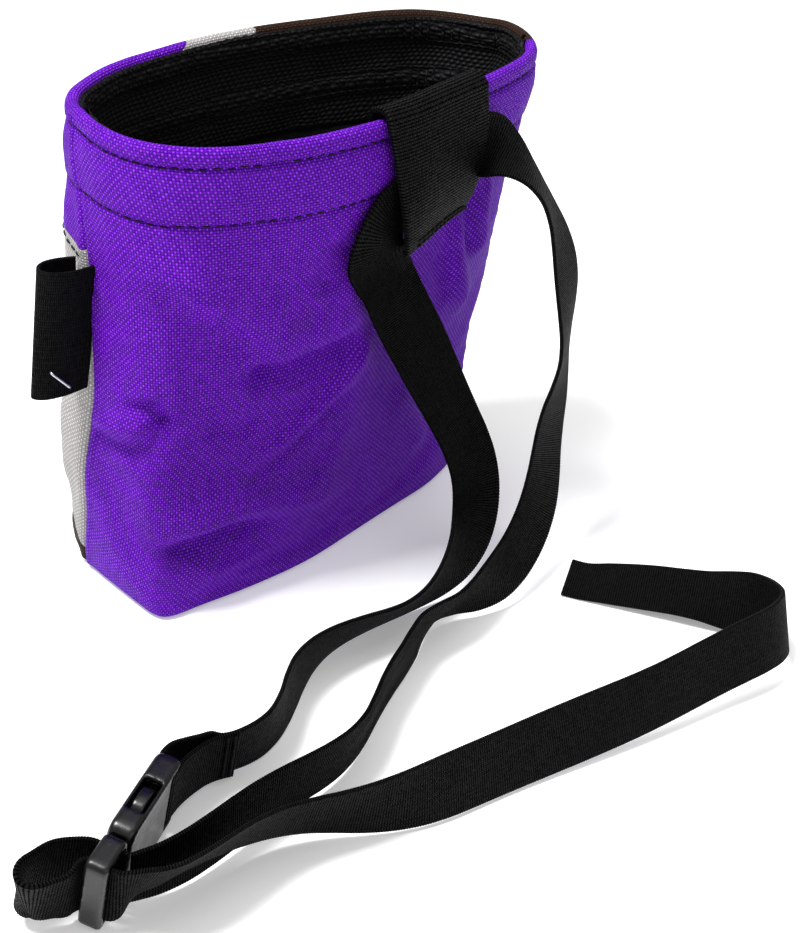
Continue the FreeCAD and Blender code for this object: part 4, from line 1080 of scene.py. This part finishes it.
def mesh_collar():
    """mesh band inside the rim; returns the middle of the pouch"""
    z = np.linspace(154.6, 120.5, 76)
    offsets = np.interp(z, [120.5, 145, 152, 153.6, 154.6], [5.2, 5.05, 4.9, 5.1, 4.7])
    points, u, v = inside_grid(z, offsets)
    centre = points.mean((0, 1))
    wave = noise2(u / 17.0, v / 13.0, 31) * 0.4 * np.clip((146 - z)[:, None] / 8, 0, 1)
    points += inward(points, centre) * wave[:, :, None]
    ob = grid_mesh("mesh_collar_cloth", points, u, v, closed=True)
    thicken(ob, 0.7)
    finish(ob, MESH, "mesh_collar", "mesh")
    return centre


def fleece_bag(centre):
    """lining below the collar with its own floor"""
    random = np.random.RandomState(7)
    z = np.linspace(123.0, 7.0, 140)
    offsets = np.interp(z, [7, 117.5, 120.5, 123], [5.8, 5.6, 4.2, 3.6])
    points, u, v = inside_grid(z, offsets)
    loose = np.clip((118 - z)[:, None] / 14, 0, 1)
    wave = (1.6 * np.clip(noise2(u / 26.0, v / 19.0, 41), 0, 1)
            + 0.9 * np.clip(noise2(u / 8.0, v / 14.0, 42), 0, 1))
    points += inward(points, centre) * (wave * loose)[:, :, None]
    points += random.randn(*points.shape) * 0.13 * loose[:, :, None]
    scales = np.linspace(0.97, 0.01, 40)
    floor_rings = shrinking_rings(points[-1], scales,
                                  np.interp(scales, [0, 0.9, 0.97], [4.4, 4.6, 5.8]))
    x, y = floor_rings[:, :, 0], floor_rings[:, :, 1]
    floor_rings[:, :, 2] += 0.9 * noise2(x / 14, y / 14, 43) + random.randn(*x.shape) * 0.12
    points = np.concatenate([points, floor_rings])
    u = np.concatenate([u, np.tile(u[-1:], (len(scales), 1))])
    v = np.concatenate([v, v[-1:] + np.cumsum(np.full((len(scales), 1), 1.6), 0)])
    ob = grid_mesh("fleece_bag", points, u, v, closed=True)
    finish(ob, FLEECE, "fleece_lining", "fleece")


def rim_stiffener():
    """plastic strip inside the hem"""
    points, u, v = inside_grid(np.linspace(148.0, 136.5, 8), np.full(8, 1.9), column_step=2)
    ob = grid_mesh("stiffener_strip_ring", points, u, v, closed=True)
    thicken(ob, 0.5, offset=0.0)
    finish(ob, STRIP, "rim_stiffener", "stiffener_plastic")


base_cloth()
fleece_bag(mesh_collar())
rim_stiffener()


# ------------------------------------------------------------------ woven straps
YARN_WIDTH = 0.9


def round_edge(distance, radius):
    """0..1 height of a rounded edge at a distance from it"""
    x = np.clip(1 - distance / radius, 0, 1)
    return np.sqrt(np.clip(1 - x ** 2, 0.0, 1))


def across(width, count):
    """positions over a strap's width from its middle, closer together at the edges"""
    edge = np.array([0, 0.08, 0.2, 0.36, 0.56, 0.85])
    middle = np.linspace(1.3, width - 1.3, count)
    return np.concatenate([edge, middle, width - edge[::-1]]) - width / 2


def face_outward(ob):
    bm = bmesh.new()
    bm.from_mesh(ob.data)
    bmesh.ops.recalc_face_normals(bm, faces=bm.faces[:])
    bm.to_mesh(ob.data)
    bm.free()


def woven_sheet(name, grid, thickness, pitch, rib, edge, end, tooth, seed):
    """closed flat strap round a grid of middle points (rows along, columns across it);
    rib is the relief, edge and end the rounding radii, tooth the saw of the long edges"""
    rows, count = grid.shape[:2]
    u = np.c_[np.zeros(rows), np.cumsum(np.linalg.norm(np.diff(grid, axis=1), axis=2), 1)]
    width = u[:, -1:]
    v = run_length(grid[:, count // 2])
    across_way = np.gradient(grid, axis=1)
    normal = unit(np.cross(np.gradient(grid, axis=0), across_way))
    phase = v[:, None] / pitch + 0.12 * noise2(v[:, None] / 9.0, u / 9.0, seed + 5)
    odd = (np.floor(u / YARN_WIDTH).astype(int) % 2) * 0.5
    relief = (0.6 * np.abs(np.sin(np.pi * phase))
              + 0.4 * np.abs(np.sin(np.pi * (phase + odd))) - 0.6)
    to_edge = np.minimum(u, width - u)
    to_end = np.minimum(v, v[-1] - v)[:, None]
    half = thickness / 2 * round_edge(to_edge + 0.02, edge) * round_edge(to_end + 0.02, end)
    half = np.maximum(half + rib * relief * np.clip(to_edge / edge, 0.2, 1), 0.03)
    # the edges are drawn in between the weft turns
    saw = tooth * (np.abs(np.sin(np.pi * v / pitch)) - 0.5)[:, None]
    pull = np.exp(-((width - u) / 0.9) ** 2) - np.exp(-(u / 0.9) ** 2)
    middle = grid + unit(across_way) * (pull * saw)[:, :, None]
    top = middle + normal * half[:, :, None]
    bottom = (middle - normal * half[:, :, None])[:, ::-1]
    around = 2 * count
    index = np.arange(rows * around).reshape(rows, around)
    faces = corners(np.c_[index, index[:, :1]]).reshape(-1, 4).tolist()
    around_u = np.concatenate([u, 2 * width + thickness - u[:, ::-1],
                               2 * width + 2 * thickness], 1)
    along_v = np.broadcast_to(v[:, None], around_u.shape)
    uvs = np.stack([corners(around_u), corners(along_v)], -1).reshape(-1, 2) / UV_UNIT
    caps = []
    for row, step in ((0, -1), (rows - 1, 1)):
        for k in range(count - 1):
            cap = [k, k + 1, around - 2 - k, around - 1 - k]
            caps.append([row * around + i for i in cap][::step])
    uvs = np.concatenate([uvs, np.zeros((4 * len(caps), 2))])
    verts = np.concatenate([top, bottom], 1).reshape(-1, 3)
    ob = make_mesh(name, verts, faces + caps, uvs)
    face_outward(ob)
    return ob


# ------------------------------------------------------------------ belt loop over the rim
LOOP_WIDTH = 46.0
LOOP_STEP = 0.25
# From its inner end over the rim to its lower edge on the back panel: height on the pouch,
# lift above that, distance outside the plain body at the -x edge and at the +x edge
LOOP_PATH = [
    (132, 0, -6.3, -6.3), (136, 0, -6.3, -6.3), (141, 0, -6.2, -6.2), (146, 0, -6, -6),
    (150.5, 0, -5.8, -5.8), (154.5, 0, -5.6, -5.6), (156, .9, -5, -5), (156, 2.2, -3.4, -3.4),
    (156, 2.8, -1.1, -1.1), (156, 2.2, .9, .9), (156, .9, 2.3, 2.3), (154.5, 0, 2.9, 2.9),
    (150.5, 0, 3.5, 3.5), (146, 0, 4.3, 4.2), (141, 0, 5, 4.6), (136, 0, 5.7, 4.8),
    (131, 0, 6.6, 4.8), (126, 0, 7.6, 4.6), (121.5, 0, 8.6, 3.8), (117.5, 0, 9.3, 2.6),
    (114.8, 0, 9.5, 2.1)]


def loop_row(z, lift, left_offset, right_offset, share):
    """one row across the belt loop; share runs 0..1 over its width"""
    drop = (HEIGHT - z) / 38.0
    left_x, right_x = drop * 5.0, 45.5 - drop
    x = left_x + (right_x - left_x) * share
    outline = closed_spline(stations(min(z, 155.5)), np.linspace(2.0, 14.0, 900))
    tangent = unit(np.gradient(outline, axis=0))
    y = np.interp(x, outline[:, 0], outline[:, 1])
    normal = unit(np.stack([np.interp(x, outline[:, 0], tangent[:, 1]),
                            np.interp(x, outline[:, 0], -tangent[:, 0])], 1))
    offset = left_offset + (right_offset - left_offset) * share
    return np.c_[np.stack([x, y], 1) + normal * offset[:, None], np.full(len(x), z + lift)]


def belt_loop():
    share = (across(LOOP_WIDTH, 44) + LOOP_WIDTH / 2) / LOOP_WIDTH
    rows = np.array([loop_row(*station, share) for station in LOOP_PATH])
    run = run_length(rows[:, rows.shape[1] // 2])
    v = np.arange(0, run[-1], LOOP_STEP)
    grid = hermite(run, rows, v)
    normal = unit(np.cross(np.gradient(grid, axis=0), np.gradient(grid, axis=1)))
    # the lower 26 mm wave where the stitching pulls them in
    fade = np.clip((v - v[-1] + 26) / 26, 0, 1)[:, None]
    wave = 0.35 * noise2(share[None] * 5.2, v[:, None] / 17, 61)
    grid = grid + normal * (fade * wave)[:, :, None]
    ob = woven_sheet("belt_loop_web", grid, thickness=2.0, pitch=LOOP_PITCH, rib=0.09, edge=0.7,
                     end=0.8, tooth=0.08, seed=3)
    finish(ob, LOOP_WEB, "belt_loop", "webbing")
    # two thread rows near the lower edge
    inner = slice(10, grid.shape[1] - 3)
    threads = []
    for rows_up, seed in ((7, 71), (14, 72)):
        out = normal[-rows_up - 1, inner]
        path = grid[-rows_up - 1, inner] + out * 1.15
        threads.append(stitches("belt_loop_thread", path, out, seed, pitch=3.0, length=2.4,
                                radius=0.34, lift=0.2))
    finish(join_objects(threads), THREAD_BLACK, "belt_loop_stitching", "thread")


belt_loop()

# ------------------------------------------------------------------ elastic loop at the -x end
ELASTIC_WIDTH = 39.0
ELASTIC_BOTTOM_Z, ELASTIC_RISE = 75.0, 40.3
# Its bottom and top edges seen from above: x, y
ELASTIC_BOTTOM = np.array([
    (-74.6, -7.0), (-78.2, -7.3), (-80.6, -7.6), (-84.0, -7.7), (-87.6, -7.2), (-90.2, -6.0),
    (-91.4, -4.4), (-90.4, -2.8), (-87.6, -2.2), (-84.0, -2.4), (-80.6, -2.8), (-78.2, -3.2),
    (-76.2, -3.6)])
ELASTIC_TOP = np.array([
    (-71.6, -9.2), (-75.4, -9.8), (-77.6, -10.0), (-80.4, -9.8), (-83.2, -9.0), (-85.6, -7.2),
    (-86.8, -4.6), (-85.6, -1.8), (-83.2, -0.2), (-80.4, 0.2), (-77.6, 0.0), (-75.4, -0.6),
    (-73.4, -1.2)])


def side_loop():
    share = ((across(ELASTIC_WIDTH, 60) + ELASTIC_WIDTH / 2) / ELASTIC_WIDTH)[None]
    run = run_length(ELASTIC_TOP)
    s = np.arange(0, run[-1], 0.14)
    bottom, top = hermite(run, ELASTIC_BOTTOM, s), hermite(run, ELASTIC_TOP, s)
    grid = np.zeros((len(s), share.size, 3))
    grid[:, :, :2] = bottom[:, None] * (1 - share[..., None]) + top[:, None] * share[..., None]
    grid[:, :, 2] = ELASTIC_BOTTOM_Z + ELASTIC_RISE * share
    grid[:, :, 2] += (0.5 * np.sin(s / 9.0))[:, None] * (share - 0.2)
    ob = woven_sheet("side_loop_elastic", grid, thickness=1.15, pitch=ELASTIC_PITCH, rib=0.06,
                     edge=0.45, end=0.3, tooth=0.16, seed=4)
    finish(ob, ELASTIC, "side_loop", "elastic")


def side_loop_staple():
    """bent wire whose two legs go into the elastic"""
    start, end = np.array([-87.2, -8.55, 84.3]), np.array([-81.9, -9.35, 78.4])
    way = (end - start) / np.linalg.norm(end - start)
    out = np.array([-0.1, -0.995, 0.0])
    # distance outward and along the wire from each leg
    leg = [(-0.6, 0.0), (0.3, 0.05), (0.72, 0.5), (0.82, 1.6)]
    control = np.array([start + out * o + way * a for o, a in leg]
                       + [(start + end) / 2 + out * 0.80]
                       + [end + out * o - way * a for o, a in leg[::-1]])
    run = run_length(control)
    wire = tube(hermite(run, control, np.linspace(0, run[-1], 60)), 0.36, sides=14)
    finish(make_mesh("staple_wire_bent", *wire), STEEL, "side_loop_staple", "staple_steel")


side_loop()
side_loop_staple()

# ------------------------------------------------------------------ belt webbing
# Centre lines of the belt: x, y, z, then the direction across its width
SOCKET_RUN = [
    (-91.42, -101.98, 10.6, -.025, -.231, .973), (-83.65, -103.49, 10.37, .003, -.224, .975),
    (-75.89, -102.64, 10.34, .036, -.155, .987), (-68.76, -99.28, 10.45, .021, -.051, .998),
    (-62.31, -94.57, 10.44, -.007, .029, 1), (-55.88, -89.81, 10.26, .007, .037, .999),
    (-48.98, -85.8, 10.03, .064, -.065, .996), (-41.58, -82.82, 9.79, .109, -.234, .966),
    (-33.82, -80.95, 9.47, .107, -.39, .915), (-25.88, -80.16, 9.07, .067, -.495, .866),
    (-17.89, -80.17, 8.67, .016, -.558, .83), (-9.89, -80.36, 8.61, -.029, -.569, .822),
    (-1.93, -80.11, 9.25, -.076, -.498, .864), (5.89, -79.22, 10.63, -.15, -.338, .929),
    (13.5, -77.7, 12.58, -.259, -.11, .96), (20.7, -75.45, 15.15, -.437, .096, .894),
    (27, -72.43, 18.86, -.68, .18, .71), (31.61, -69.09, 24.22, -.892, .136, .432),
    (33.88, -66.06, 31.06, -.991, .032, .129), (33.79, -63.55, 38.54, -.991, -.075, -.115),
    (32, -61.32, 45.98, -.954, -.158, -.255), (29.32, -59.16, 53.21, -.929, -.191, -.317),
    (26.31, -57.08, 60.34, -.92, -.163, -.356), (23.15, -55.14, 67.45, -.917, -.094, -.387),
    (19.94, -53.31, 74.56, -.913, -.012, -.408), (16.78, -51.39, 81.67, -.907, .065, -.416),
    (13.75, -49.14, 88.73, -.904, .107, -.413), (10.95, -46.57, 95.79, -.921, .091, -.378),
    (8.21, -44.45, 102.89, -.902, .005, -.432), (3.97, -44.96, 109.4, -.794, .131, -.594),
    (.07, -47.56, 115.36, -.948, .123, -.293), (.09, -48.77, 121.56, -.934, -.065, .352),
    (4.24, -47.37, 127.1, -.604, -.138, .785), (10.95, -46.13, 130.58, -.287, -.169, .943),
    (18.43, -44.08, 132.45, -.158, -.16, .974), (25.99, -41.94, 133.99, -.159, -.155, .975)]
PLUG_RUN = [
    SOCKET_RUN[-1],
    (33.62, -39.97, 135.63, -.171, -.149, .974), (41.14, -38.03, 137.15, -.094, -.119, .988),
    (47.67, -38.45, 137.29, .343, .114, .933), (53.06, -43.66, 134.94, .794, .491, .359),
    (57.06, -48.77, 130.44, .78, .625, -.009), (60.26, -53.06, 124.6, .723, .683, -.103),
    (62.52, -56.52, 117.77, .759, .646, -.085), (64.14, -59.44, 110.5, .836, .547, -.043),
    (65.25, -61.83, 102.95, .884, .466, -.027), (65.89, -63.67, 95.19, .886, .462, -.048),
    (66.08, -65.07, 87.31, .851, .518, -.084), (65.9, -66.28, 79.39, .805, .581, -.123),
    (65.26, -67.32, 71.48, .795, .585, -.162), (64.05, -68.18, 63.61, .846, .489, -.212),
    (62.32, -69.04, 55.84, .892, .36, -.273), (60.22, -70.39, 48.24, .9, .278, -.335),
    (57.81, -72.56, 40.94, .891, .206, -.405), (54.89, -75.46, 34.1, .868, .098, -.487),
    (51.05, -78.62, 27.87, .804, -.029, -.594), (46.03, -81.66, 22.51, .686, -.134, -.715),
    (39.92, -84.5, 18.28, .536, -.199, -.821), (33.01, -87.08, 15.3, .368, -.221, -.903),
    (25.5, -89.02, 13.5, .189, -.161, -.969), (17.63, -89.88, 12.68, .053, .06, -.997),
    (9.63, -90.06, 12.47, .003, .354, -.935), (1.69, -90.76, 12.26, -.036, .482, -.876),
    (-6.05, -92.63, 11.73, -.031, .332, -.943), (-13.46, -95.55, 11.15, .011, .119, -.993),
    (-20.63, -99.1, 10.79, -.006, .075, -.997), (-27.75, -102.77, 10.67, -.036, .079, -.996),
    (-34.8, -106.58, 10.7, -.049, .068, -.996), (-41.61, -110.79, 10.79, -.06, .068, -.996),
    (-48.29, -115.22, 10.9, -.077, .089, -.993), (-55.22, -119.19, 11.09, -.095, .125, -.988),
    (-62.65, -122.02, 11.41, -.088, .142, -.986), (-70.47, -123.52, 11.81, -.064, .141, -.988),
    (-78.45, -124.1, 12.11, -.031, .127, -.991), (-86.45, -124.49, 12.21, -.006, .087, -.996),
    (-94.43, -125.2, 12.14, .009, .046, -.999), (-102.37, -126.28, 11.99, .016, .027, -1),
    (-110.29, -127.44, 11.83, .015, .025, -1), (-118.26, -128.19, 11.72, .006, .041, -.999),
    (-126.22, -127.92, 11.74, -.007, .08, -.997), (-134.05, -126.41, 11.98, -.007, .13, -.992)]
TAIL_RUN = [
    (-135.15, -125.97, 11.99, .075, -.119, .99), (-136.04, -124.51, 12.24, .074, -.119, .99),
    (-136.97, -123.09, 12.48, .075, -.119, .99), (-137.89, -121.65, 12.72, .075, -.119, .99),
    (-138.73, -120.16, 12.96, .073, -.12, .99), (-139.55, -118.66, 13.2, .064, -.126, .99),
    (-140.53, -117.28, 13.45, .047, -.142, .989), (-141.73, -116.05, 13.68, .028, -.17, .985),
    (-143.09, -114.99, 13.91, .017, -.199, .98), (-144.55, -114.07, 14.13, .017, -.221, .975),
    (-146.11, -113.34, 14.34, .027, -.235, .972), (-147.74, -112.83, 14.52, .043, -.243, .969),
    (-149.43, -112.55, 14.68, .06, -.249, .967), (-151.15, -112.49, 14.82, .076, -.256, .964),
    (-152.89, -112.64, 14.93, .093, -.262, .961), (-154.62, -112.98, 15.02, .113, -.256, .96),
    (-156.23, -113.6, 15.07, .128, -.218, .967), (-157.62, -114.61, 15.05, .102, -.146, .984),
    (-158.64, -116.02, 14.96, .007, -.086, .996), (-159.16, -117.72, 14.79, -.124, -.097, .988),
    (-159.02, -119.46, 14.58, -.198, -.212, .957), (-158.05, -120.81, 14.34, -.122, -.327, .937),
    (-156.53, -121.69, 14.12, -.028, -.332, .943), (-154.9, -122.24, 13.93, .017, -.311, .95),
    (-153.24, -122.6, 13.76, .036, -.296, .955), (-151.52, -122.91, 13.59, .049, -.279, .959),
    (-149.79, -123.08, 13.44, .079, -.225, .971), (-148.15, -122.74, 13.36, .084, -.151, .985),
    (-146.53, -122.13, 13.31, .075, -.122, .99), (-144.78, -122.13, 13.18, .075, -.117, .99),
    (-143.59, -123.34, 13.08, .073, -.119, .99), (-142.7, -124.9, 12.99, .074, -.118, .99),
    (-141.88, -126.49, 12.97, .076, -.124, .989), (-141.18, -128.28, 12.99, .08, -.118, .99),
    (-140.31, -129.8, 13.25, .036, -.114, .993), (-139.19, -130.85, 13.73, -.008, -.165, .986),
    (-137.82, -131.46, 14.48, -.016, -.257, .966), (-136.36, -131.93, 15.43, -.003, -.348, .938),
    (-134.95, -132.57, 16.47, -.007, -.421, .907), (-133.58, -133.35, 17.31, -.033, -.468, .883),
    (-132.12, -134.01, 17.66, -.059, -.491, .869), (-130.55, -134.5, 17.69, -.069, -.505, .861),
    (-128.95, -134.88, 17.72, -.064, -.518, .853), (-127.34, -135.18, 17.84, -.056, -.531, .846),
    (-125.72, -135.4, 18.01, -.053, -.542, .839), (-123.45, -135.5, 18.13, -.056, -.547, .835),
    (-119.92, -135.46, 18.1, -.059, -.539, .84), (-111.27, -134.78, 17.28, -.064, -.487, .871),
    (-102.24, -134.01, 15.72, -.066, -.415, .907), (-93.48, -134.41, 14.28, -.062, -.36, .931),
    (-85.24, -136.25, 13.06, -.051, -.311, .949), (-77.44, -139.04, 12.1, -.021, -.222, .975),
    (-69.74, -141.97, 11.43, .02, -.089, .996), (-61.91, -144.4, 11.03, .05, .059, .997),
    (-53.9, -146.12, 10.76, .06, .186, .981), (-45.78, -147.23, 10.52, .054, .257, .965),
    (-37.62, -148.02, 10.33, .045, .284, .958), (-29.46, -148.8, 10.21, .038, .302, .953),
    (-21.31, -149.71, 10.21, .031, .322, .946), (-13.18, -150.78, 10.36, .021, .343, .939),
    (-5.07, -151.97, 10.67, .011, .36, .933), (3.01, -153.26, 11.13, 0, .367, .93),
    (11.07, -154.66, 11.72, -.011, .363, .932), (19.12, -156.02, 12.41, -.028, .351, .936),
    (27.21, -157.14, 13.14, -.045, .342, .939), (35.33, -158.02, 13.9, -.055, .344, .938),
    (43.45, -158.82, 14.7, -.058, .351, .935), (51.56, -159.72, 15.52, -.051, .36, .932),
    (59.66, -160.71, 16.29, -.033, .367, .93), (67.81, -161.44, 16.75, -.006, .368, .93),
    (75.93, -160.89, 16.48, .016, .364, .931), (83.15, -157.63, 15.05, .033, .351, .936),
    (87.56, -151.45, 12.53, .063, .346, .936), (88.15, -143.93, 9.73, .281, .344, .896),
    (85.61, -136.49, 7.65, .628, .437, .644), (81.66, -129.4, 6.51, .78, .518, .351),
    (77.28, -122.52, 5.68, .801, .552, .231), (72.79, -115.73, 4.7, .801, .566, .194),
    (68.28, -108.99, 3.48, .807, .571, .15), (63.78, -102.28, 2.09, .82, .567, .079),
    (59.28, -95.59, .61, .83, .557, 0), (56.26, -91.1, .66, .83, .557, 0)]

# Frame of the buckle: origin, its length, its thickness and its width
BUCKLE_ORIGIN = np.array([-146.157, -125.820, 0.518])
BUCKLE_LENGTH = np.array([0.847424, 0.530917, 0.0])
BUCKLE_THICKNESS = unit(np.array([-0.525657, 0.839006, 0.140550]))
BUCKLE_WIDTH = np.cross(BUCKLE_LENGTH, BUCKLE_THICKNESS)
# Sewn end of the socket run, folded round the socket's bar: length, thickness in that frame
SEWN_FOLD = [
    (61.6, -12), (60.3, -10.75), (57.8, -8.55), (55, -6.6), (51, -4.9), (47.5, -3.8),
    (44, -3.1), (41, -2.85), (38.7, -2.7), (37.5, -1.7), (37.3, 0), (37.5, 1.7), (38.7, 2.7),
    (41, 2.85), (44, 2.9), (47.5, 2.1), (51, -.4), (54.5, -3.4), (57, -5.5)]
BELT_WIDTH = 20.0
BELT_STEP = BELT_PITCH / 4


def in_buckle(x, y, z):
    return BUCKLE_ORIGIN + BUCKLE_LENGTH * x + BUCKLE_THICKNESS * y + BUCKLE_WIDTH * z


def sewn_fold_rows():
    rows = []
    for k, (x, y) in enumerate(SEWN_FOLD):
        # the free end lies a little lower and turned
        z = 12.1 - 0.35 * np.clip((8 - k) / 5.0, 0, 1)
        turn = -0.10 * np.clip((x - 44.0) / 14.0, 0, 1)
        rows.append((*in_buckle(x, y, z), *unit(BUCKLE_WIDTH + BUCKLE_LENGTH * turn)))
    return rows


def belt_strap(name, rows, node, seed, moves):
    """one length of belt webbing with a light ripple"""
    table = np.array(rows, float)
    centre, width_way = table[:, :3], unit(table[:, 3:])
    run = run_length(centre)
    t = np.arange(0, run[-1], BELT_STEP)
    centre, width_way = hermite(run, centre, t), unit(hermite(run, width_way, t))
    y = across(BELT_WIDTH, 26)
    grid = centre[:, None] + width_way[:, None] * y[None, :, None]
    normal = unit(np.cross(unit(np.gradient(centre, axis=0)), width_way))
    fade = np.clip(np.minimum(t, run[-1] - t) / 20.0, 0, 1)
    ripple = 0.10 * noise2(t[:, None] / 16.0, y[None] / 14.0, seed) * fade[:, None]
    grid = grid + normal[:, None] * ripple[:, :, None]
    ob = woven_sheet(name, grid, thickness=1.3, pitch=BELT_PITCH, rib=0.09, edge=0.5, end=0.4,
                     tooth=0.20, seed=seed)
    finish(ob, BELT_WEB, node, "webbing", moves)


def belt_bar_tack():
    """two zigzag rows over the sewn end"""
    count = 46
    parts = []
    for x, y in ((58.3, -10.05), (60.0, -11.6)):
        points = []
        for i in range(count):
            swing = 1 if i % 2 else -1
            z = 3.0 + 17.6 * i / (count - 1)
            points.append(in_buckle(x + 0.55 * swing - 0.1 * (z - 12), y - 0.05 - 0.08 * swing,
                                    z))
        samples = np.linspace(0, count - 1, count * 5)
        path = hermite(np.arange(count, dtype=float), np.array(points), samples)
        parts.append(tube(path, 0.24, sides=6))
    ob = make_mesh("belt_bar_tack_thread", *merge(parts))
    finish(ob, THREAD_BLACK, "belt_bar_tack", "thread", moves="belt")


belt_strap("belt_socket_run_web", sewn_fold_rows() + SOCKET_RUN, "belt_webbing_socket_run",
           seed=5, moves="belt")
belt_strap("belt_plug_run_web", PLUG_RUN, "belt_webbing_plug_run", seed=6,
           moves=("belt", "plug", (0.0, -0.118, 0.012), (-0.130, -0.127, 0.012)))
belt_strap("belt_tail_web", TAIL_RUN, "belt_tail", seed=7, moves="plug")
belt_bar_tack()


# ------------------------------------------------------------------ buckle: its CAD pieces, softened
def soften_buckle_piece(name, iterations):
    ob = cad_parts[name]
    # a CAD piece may come with or without material slots
    if len(ob.material_slots):
        for slot in ob.material_slots:
            slot.material = PLASTIC
    else:
        ob.data.materials.append(PLASTIC)
    remesh = ob.modifiers.new("even_mesh", "REMESH")
    remesh.mode = "VOXEL"
    remesh.voxel_size = 0.00035
    remesh.use_smooth_shade = True
    smooth = ob.modifiers.new("soft_corners", "SMOOTH")
    smooth.factor = 0.5
    smooth.iterations = iterations


for name, iterations in (("buckle_socket", 16), ("buckle_plug", 16),
                         ("release_arm_upper", 5), ("release_arm_lower", 5)):
    soften_buckle_piece(name, iterations)


# ------------------------------------------------------------------ floor, light, camera
def add_floor():
    bpy.ops.mesh.primitive_plane_add(size=60.0, location=(0, 0, -0.0003))
    floor = bpy.context.object
    floor.name = "floor"
    floor.data.materials.append(floor_paper("floor_paper"))


def add_area_light(name, location, target, size, power):
    light = bpy.data.lights.new(name, "AREA")
    light.shape = "RECTANGLE"
    light.size, light.size_y = size
    light.energy = power
    ob = bpy.data.objects.new(name, light)
    bpy.context.scene.collection.objects.link(ob)
    ob.location = location
    aim = Vector(target) - Vector(location)
    ob.rotation_euler = aim.to_track_quat("-Z", "Y").to_euler()


def add_world(strength):
    world = bpy.data.worlds.new("studio")
    world.use_nodes = True
    background = world.node_tree.nodes["Background"]
    background.inputs[0].default_value = (1.0, 1.0, 1.0, 1)
    background.inputs[1].default_value = strength
    bpy.context.scene.world = world


def add_camera(location, heading, down, roll, lens, shift):
    """angles in degrees: heading turns from +y toward +x, down tilts below level"""
    heading, down, roll = map(math.radians, (heading, down, roll))
    forward = Vector((math.sin(heading) * math.cos(down), math.cos(heading) * math.cos(down),
                      -math.sin(down)))
    level = Vector((math.cos(heading), -math.sin(heading), 0))
    upright = level.cross(forward)
    right = level * math.cos(roll) + upright * math.sin(roll)
    up = -level * math.sin(roll) + upright * math.cos(roll)
    camera = bpy.data.cameras.new("camera")
    camera.sensor_fit = "AUTO"
    camera.sensor_width = 36.0
    camera.lens = lens
    camera.shift_x, camera.shift_y = shift
    camera.clip_start = 0.01
    camera.clip_end = 30
    ob = bpy.data.objects.new("camera", camera)
    bpy.context.scene.collection.objects.link(ob)
    matrix = Matrix((right, up, -forward)).transposed().to_4x4()
    matrix.translation = Vector(location) * MM
    ob.matrix_world = matrix
    bpy.context.scene.camera = ob


add_floor()
add_area_light("key", location=(-0.45, 0.15, 1.25), target=(0, 0, 0.05), size=(0.35, 0.35),
               power=24.0)
add_area_light("front", location=(-0.2, -1.2, 0.9), target=(0, 0, 0.06), size=(1.0, 0.7),
               power=2.5)
add_area_light("top", location=(0.2, 0.0, 1.6), target=(0, 0, 0), size=(1.2, 1.2), power=6.0)
add_world(strength=0.48)
add_camera(location=(-258.883, -349.802, 307.905), heading=39.5467, down=33.4580, roll=3.5364,
           lens=57.8778135, shift=(0.064222937, -0.0111039657))
bpy.context.scene.view_settings.view_transform = "Standard"
